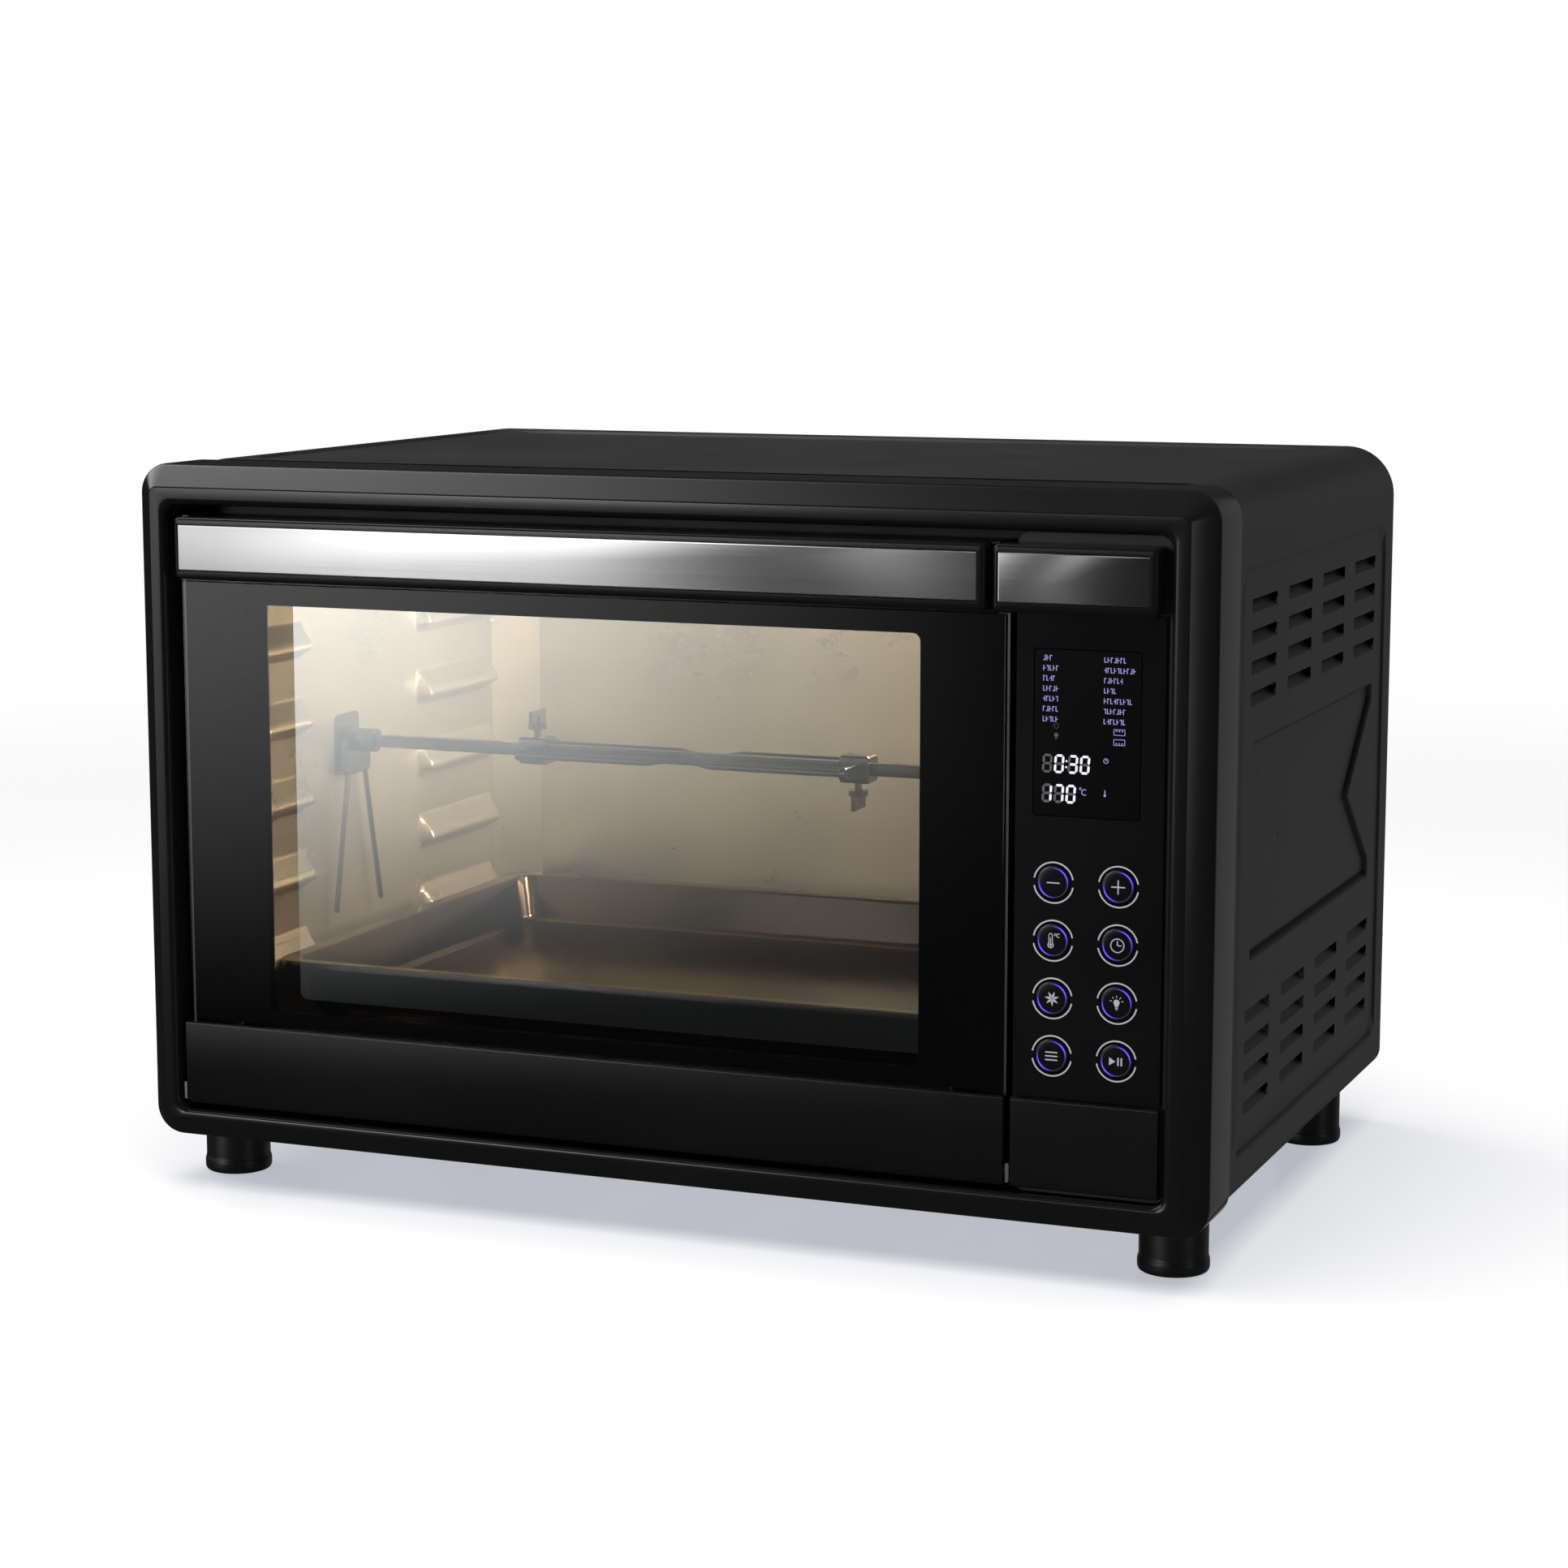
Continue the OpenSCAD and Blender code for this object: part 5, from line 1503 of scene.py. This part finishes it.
@dataclass
class Display:
    """Lit display: two rows of seven-bar digits, two columns of labels as bars, and signs."""

    digit_w: float = 3.6
    digit_h: float = 7.6
    pitch: float = 5.7
    bar: float = 1.15
    slant: float = 0.06
    margin: float = 4.2

    def build(self) -> None:
        """Window, dim bars, lit bars and small signs."""
        low, high = box_mm("display_window")
        rect = front_rect("display_window", 1.2)
        y = low[1]
        surface = Surface()
        surface.closed_loft(loft([(rect.inset(0.3), y), (rect, y + 0.3), (rect, high[1])],
                                 Axis.Y, 5))
        surface.piece("display_sheet", Finishes.display, "cabinet", ("display_window",))
        lit, dim, label = Print(y, 0.04), Print(y, 0.03), Print(y, 0.04)
        x0 = rect.a0 + self.margin + 0.4
        time_z, heat_z = rect.b0 + 20.6, rect.b0 + 6.8
        for i, digit in enumerate(" 030"):
            self.digit(lit, dim, x0 + i * self.pitch + (0.9 if i > 1 else 0), time_z, digit)
        for lift in (2.4, 5.2):
            lit.disc(x0 + 2 * self.pitch - 0.45 + self.slant * lift, time_z + lift, 0.48)
        for i, digit in enumerate("170"):
            self.digit(lit, dim, x0 + i * self.pitch, heat_z, digit)
        self.signs(label, dim, rect, x0, time_z, heat_z)
        lit.piece("display_digits", Finishes.white_light, "cabinet", closed=False)
        dim.piece("display_dim_bars", Finishes.ghost, "cabinet", closed=False)
        label.piece("display_labels", Finishes.violet_light, "cabinet", closed=False)

    def digit(self, lit: Print, dim: Print, x: float, z: float, digit: str) -> None:
        """One seven-bar digit: each bar is a six-sided outline, leaning with the digit.

        Args:
            lit: Gathers the lit bars.
            dim: Gathers the others.
            x: Left edge.
            z: Lower edge.
            digit: A digit, or a space for none.
        """
        shown = {"0": "abcdef", "1": "bc", "3": "abcdg", "7": "abc", " ": ""}[digit]
        w, h, b = self.digit_w, self.digit_h, self.bar
        middle = h / 2
        level = {"a": h, "g": middle, "d": 0.0}
        upright = {"f": (0.0, middle, h), "b": (w, middle, h), "e": (0.0, 0.0, middle),
                   "c": (w, 0.0, middle)}
        gap = 0.16
        for key in "abcdefg":
            if key in level:
                v, s, e = level[key], gap, w - gap
                pts = [(s, v), (s + b / 2, v - b / 2), (e - b / 2, v - b / 2), (e, v),
                       (e - b / 2, v + b / 2), (s + b / 2, v + b / 2)]
            else:
                u, s, e = upright[key][0], upright[key][1] + gap, upright[key][2] - gap
                pts = [(u, s), (u + b / 2, s + b / 2), (u + b / 2, e - b / 2), (u, e),
                       (u - b / 2, e - b / 2), (u - b / 2, s + b / 2)]
            outline = np.array(pts)
            outline[:, 0] += self.slant * outline[:, 1]
            (lit if key in shown else dim).shape(outline + (x, z))

    def signs(self, label: Print, dim: Print, rect: Rect, x0: float, time_z: float,
              heat_z: float) -> None:
        """Label bars in two columns, and the small signs beside the digits.

        Args:
            label: Gathers the lit labels.
            dim: Gathers the unlit signs.
            rect: The display's outline.
            x0: Left edge of the digits.
            time_z: Lower edge of the time.
            heat_z: Lower edge of the temperature.
        """
        counts = ((3, 5, 4, 5, 5, 5, 5), (7, 10, 6, 4, 9, 7, 7))
        step = 1.52
        for column, left in ((0, rect.a0 + self.margin), (1, rect.a0 + 33.2)):
            for row, count in enumerate(counts[column]):
                z = rect.b1 - 4.1 - 4.7 * row
                for i in range(count):
                    x = left + 0.6 + i * step
                    stem = 0.35 * (1 if (i * 5 + row * 3 + column) % 4 else -1)
                    label.bar(x - stem, z, 0.38, 2.5, 0.1)
                    label.bar(x, z + (i + row) % 3 - 1.0, 1.1, 0.38, 0.1)
        for z, side in ((rect.b1 - 37.0, 1), (rect.b1 - 41.6, -1)):
            x = rect.a0 + 40.8
            for lift in (-1.3, 1.3):
                label.bar(x, z + lift, 5.4, 0.28, 0.1)
            for shift in (-2.6, 2.6):
                label.bar(x + shift, z, 0.28, 2.6, 0.1)
            for shift in (-1.4, 0.0, 1.4):
                label.disc(x + shift, z + side * 0.6, 0.35)
        sun_x = rect.a0 + 10.8
        for w in np.radians(np.arange(8) * 45.0):
            dim.bar(sun_x + 1.1 * math.cos(w), rect.b1 - 35.4 + 1.1 * math.sin(w), 0.45, 0.45)
        dim.disc(sun_x, rect.b1 - 39.6, 1.0)
        dim.bar(sun_x, rect.b1 - 41.1, 0.8, 0.6, 0.1)
        sign_x = rect.a0 + 34.6
        label.arc(sign_x, time_z + 6.2, (0.95, 1.25), (0, 360), 24)
        label.bar(sign_x, time_z + 6.6, 0.25, 0.8, 0.1)
        label.bar(sign_x + 0.35, time_z + 6.2, 0.7, 0.25, 0.1)
        label.disc(sign_x - 0.3, heat_z + 4.0, 0.6)
        label.bar(sign_x - 0.3, heat_z + 5.4, 0.45, 2.2, 0.15)
        label.arc(x0 + 3 * self.pitch + 0.9, heat_z + 6.6, (0.3, 0.6), (0, 360), 14)
        label.arc(x0 + 3 * self.pitch + 2.9, heat_z + 5.0, (1.1, 1.5), (55, 305))


@dataclass
class ControlPanel:
    """Glossy fascia with its display and buttons, the cover under it and the housing."""

    edge: float = 0.5
    hole: float = 8.3

    def build(self) -> None:
        """Builds the fascia, the display and each button."""
        buttons = [Button(f"button_{icon.value}", f"key_{icon.value}", icon) for icon in Icon]
        self.fascia(buttons)
        Display().build()
        printed = Print(box_mm("panel_glass")[0][1], 0.05)
        icons = IconSet()
        for button in buttons:
            button.build(printed, icons)
        printed.piece("ring_prints", Finishes.print_white, "cabinet", closed=False)
        Door.strip("panel_cover", "cover_moulding", Finishes.bezel, "cabinet", 2.2)
        Finishes.housing.dress("panel_housing")

    def fascia(self, buttons: list[Button]) -> None:
        """Fascia face as tiles, each a hole's outline spread out to the tile's edge, inside a
        rounded rim.

        Args:
            buttons: The buttons, two to a row, from the top.
        """
        low, high = box_mm("panel_glass")
        rect = front_rect("panel_glass", 0.8)
        y, back = low[1], high[1]
        inner = rect.inset(self.edge)
        spots = [b.centre() for b in buttons]
        middle_x = (spots[0][0] + spots[1][0]) / 2
        rows = [s[1] for s in spots[::2]]
        pitch = rows[0] - rows[1]
        levels = [rows[0] + pitch / 2 - i * pitch for i in range(4)] + [inner.b0]
        tiles = [(Rect(inner.a0, inner.a1, levels[0], inner.b1, SQUARE),
                  front_rect("display_window", 1.3).inset(-0.15))]
        for i, (x, z, _) in enumerate(spots):
            row = i // 2
            a0, a1 = (inner.a0, middle_x) if i % 2 == 0 else (middle_x, inner.a1)
            hole = Rect(x - self.hole, x + self.hole, z - self.hole, z + self.hole, self.hole)
            tiles.append((Rect(a0, a1, levels[row + 1], levels[row], SQUARE), hole))
        surface = Surface()
        for tile, hole in tiles:
            surface.grid(loft([(hole, back), (hole, y + 0.25), (hole.inset(-0.2), y), (tile, y)],
                              Axis.Y, 10), wrap_cols=True)
        surface.grid(loft([(inner.rounded(SQUARE), y), (rect.inset(self.edge * 0.3), y + 0.12),
                           (rect, y + self.edge), (rect, back)], Axis.Y, 10), wrap_cols=True)
        surface.piece("fascia_sheet", Finishes.fascia, "cabinet", ("panel_glass",), closed=False)


# ---------------------------------------------------------------- stage


@dataclass(frozen=True)
class SoftBox:
    """Soft light in the surroundings, by direction: azimuth from -Y towards -X, and elevation,
    each as (start, full, full end, end) in degrees."""

    azimuth: tuple[float, float, float, float]
    elevation: tuple[float, float, float, float]
    power: float


@dataclass
class Studio:
    """Pale floor, soft lights, the warm oven light and the camera."""

    camera_place: tuple[float, float, float] = (693.1, -1735.0, 480.3)
    camera_azimuth: float = 21.9
    camera_elevation: float = 8.61
    lens: float = 81.84
    sensor: float = 36.0
    surroundings: float = 0.015
    boxes: tuple[SoftBox, ...] = (
        SoftBox((16.5, 33.0, 40.0, 55.0), (-12.5, -3.5, 12.0, 25.0), 1.65),
        SoftBox((20.4, 24.2, 27.5, 34.0), (-5.0, 0.0, 14.0, 25.0), 4.2),
        SoftBox((15.4, 16.5, 17.0, 17.8), (-4.0, 1.0, 14.0, 25.0), 2.6),
        SoftBox((55.0, 75.0, 118.0, 135.0), (10.0, 24.0, 56.0, 74.0), 2.6),
        SoftBox((-74.0, -70.0, -66.0, -60.0), (-12.0, -8.0, 10.0, 25.0), 1.2),
        SoftBox((132.0, 142.0, 172.0, 178.0), (-30.0, -20.0, -4.0, 0.0), 0.4),
        SoftBox((-179.0, -172.0, -145.0, -130.0), (-35.0, -20.0, 8.0, 25.0), 0.14),
    )

    def build(self) -> None:
        """Builds everything that is not part of the oven."""
        self.camera()
        self.world()
        self.floor()
        self.lights()

    def camera(self) -> None:
        """The camera looks along (-sin az cos el, cos az cos el, -sin el)."""
        az, el = math.radians(self.camera_azimuth), math.radians(self.camera_elevation)
        forward = Vector((-math.sin(az) * math.cos(el), math.cos(az) * math.cos(el),
                          -math.sin(el)))
        right = Vector((math.cos(az), math.sin(az), 0.0))
        up = right.cross(forward)
        data = bpy.data.cameras.new("camera")
        data.lens, data.sensor_width = self.lens, self.sensor
        data.clip_start, data.clip_end = 0.05, 60.0
        camera = bpy.data.objects.new("camera", data)
        axes = Matrix((right, up, -forward)).transposed().to_4x4()
        camera.matrix_world = Matrix.Translation(Vector(self.camera_place) * MM) @ axes
        bpy.context.scene.collection.objects.link(camera)
        bpy.context.scene.camera = camera
        bpy.context.scene.view_settings.view_transform = "Standard"

    def world(self) -> None:
        """White behind the oven; as light, a dim room with soft boxes set by direction."""
        world = bpy.data.worlds.new("studio")
        bpy.context.scene.world = world
        tree = Tree(world, "ShaderNodeOutputWorld")
        way = tree.add("ShaderNodeTexCoord", output="Generated")
        x, y, z = (tree.add("ShaderNodeSeparateXYZ", inputs={0: way}, output=k)
                   for k in range(3))
        azimuth = (x * -1.0).maths("ARCTAN2", y * -1.0) * (180 / math.pi)
        elevation = z.maths("ARCSINE") * (180 / math.pi)
        light = self.surroundings + 0.015 * y.ease(0.2, 0.7) * z.ease(-0.02, 0.12)
        for box in self.boxes:
            a, e = box.azimuth, box.elevation
            light = light + box.power * (azimuth.ease(a[0], a[1]) * (1 - azimuth.ease(a[2], a[3]))
                                         * elevation.ease(e[0], e[1])
                                         * (1 - elevation.ease(e[2], e[3])))
        seen = tree.add("ShaderNodeLightPath", output="Is Camera Ray")
        power = light + seen * (1.0 - light)
        tree.finish(tree.add("ShaderNodeBackground", inputs={"Color": (1.0, 1.0, 1.0),
                                                             "Strength": power}))

    def floor(self) -> None:
        """Large pale floor, a little glossy, that fades into the white behind it."""
        mesh = bpy.data.meshes.new("floor")
        size = 6.0
        mesh.from_pydata([(-size, -size, 0), (size, -size, 0), (size, size, 0),
                          (-size, size, 0)], [], [(0, 1, 2, 3)])
        material = bpy.data.materials.new("floor_lacquer")
        tree = Tree(material, "ShaderNodeOutputMaterial")
        place = tree.place()
        distance = tree.add("ShaderNodeVectorMath", {"operation": "LENGTH"}, {0: place},
                            output="Value")
        clouds = tree.noise(2.0, 3.0)
        lacquer = tree.principled(Base_Color=(0.5, 0.48, 0.44), Roughness=0.1 + 0.05 * clouds,
                                  Specular_IOR_Level=0.35, Emission_Strength=1.0,
                                  Emission_Color=(0.46, 0.48, 0.53))
        clear = tree.add("ShaderNodeBsdfTransparent")
        tree.finish(tree.add("ShaderNodeMixShader", inputs={0: distance.ease(0.7, 2.2),
                                                            1: lacquer, 2: clear}))
        floor = bpy.data.objects.new("floor", mesh)
        mesh.materials.append(material)
        floor.visible_glossy = False
        bpy.context.scene.collection.objects.link(floor)

    def lights(self) -> None:
        """A wide light overhead for the floor, and warm lights in the cavity."""
        low, high = box_mm("cavity_ceiling")
        middle = (low + high) / 2
        self.area("overhead", (0.0, -300.0, 2600.0), (0.0, 0.0, 0.0), 3.0, 150.0,
                  (1.0, 1.0, 1.0), False)
        self.area("oven_ceiling", (middle[0] - 20, middle[1], low[2] - 24),
                  (middle[0] - 60, middle[1] + 60, 60.0), 0.24, 6.4, (1.0, 0.83, 0.58), False)
        self.area("oven_lamp", (high[0] - 30, box_mm("lamp_glass")[0][1] + 16, low[2] - 32),
                  (low[0], middle[1] + 40, 150.0), 0.05, 2.3, (1.0, 0.7, 0.38), True)

    @staticmethod
    def area(name: str, place: tuple[float, float, float], aim: tuple[float, float, float],
             size: float, power: float, colour: Colour, mirrored: bool) -> None:
        """Adds a square light.

        Args:
            name: Its name.
            place: Where it is, in millimetres.
            aim: The point it faces.
            size: Its side in metres.
            power: Its power in watts.
            colour: Its colour.
            mirrored: Whether glossy surfaces show it.
        """
        data = bpy.data.lights.new(name, "AREA")
        data.size, data.energy, data.color = size, power, colour
        lamp = bpy.data.objects.new(name, data)
        way = Vector(aim) - Vector(place)
        lamp.rotation_euler = way.to_track_quat("-Z", "Y").to_euler()
        lamp.location = Vector(place) * MM
        lamp.visible_glossy = mirrored
        bpy.context.scene.collection.objects.link(lamp)


def inner_works() -> None:
    """Dresses the CAD nodes whose shape stays as it is."""
    f = Finishes
    f.base.dress("base_pan")
    f.seam.dress("seam_strip")
    f.cavity.dress("cavity_ceiling", "cavity_floor", "cavity_back")
    f.face.dress("cavity_face_frame")
    f.crumb.dress("crumb_tray")
    f.heater.dress("heater_top", "heater_bottom")
    f.ceramic.dress("heater_bushes", "lamp_holder")
    f.fan.dress("fan_grille", "fan_impeller", "cooling_blade")
    f.motor.dress("fan_motor", "spit_motor")
    f.spit.dress("spit_bracket", "spit_thumbscrews", "spit_socket", "temp_probe")
    f.lamp_glass.dress("lamp_glass")
    f.bulb.dress("lamp_bulb")
    f.circuit.dress("control_board", "power_board")
    f.housing.dress("mains_gland")
    f.hinge.dress("hinge_brackets")


def main() -> None:
    """Builds the oven piece by piece."""
    logging.basicConfig(level=logging.INFO, format="%(message)s")
    right_holes = ((150.0, 285.0, 8.0), (125.0, 218.0, 6.0), (226.0, 310.0, 12.0))
    assemblies: list[Callable[[], None]] = [
        Studio().build, OuterWrap().build, RearCover().build, FrontBezel().build, Feet().build,
        CavityWall("cavity_left_wall", 1).build,
        CavityWall("cavity_right_wall", -1, right_holes).build,
        BakingTray().build, Rotisserie().build, Door().build,
        Pull("handle_moulding", "handle_plate", "door", True).build,
        Pull("panel_trim", "panel_trim_plate", "cabinet", False).build,
        ControlPanel().build, inner_works,
    ]
    for build in assemblies:
        build()


if __name__ == "__main__":
    main()
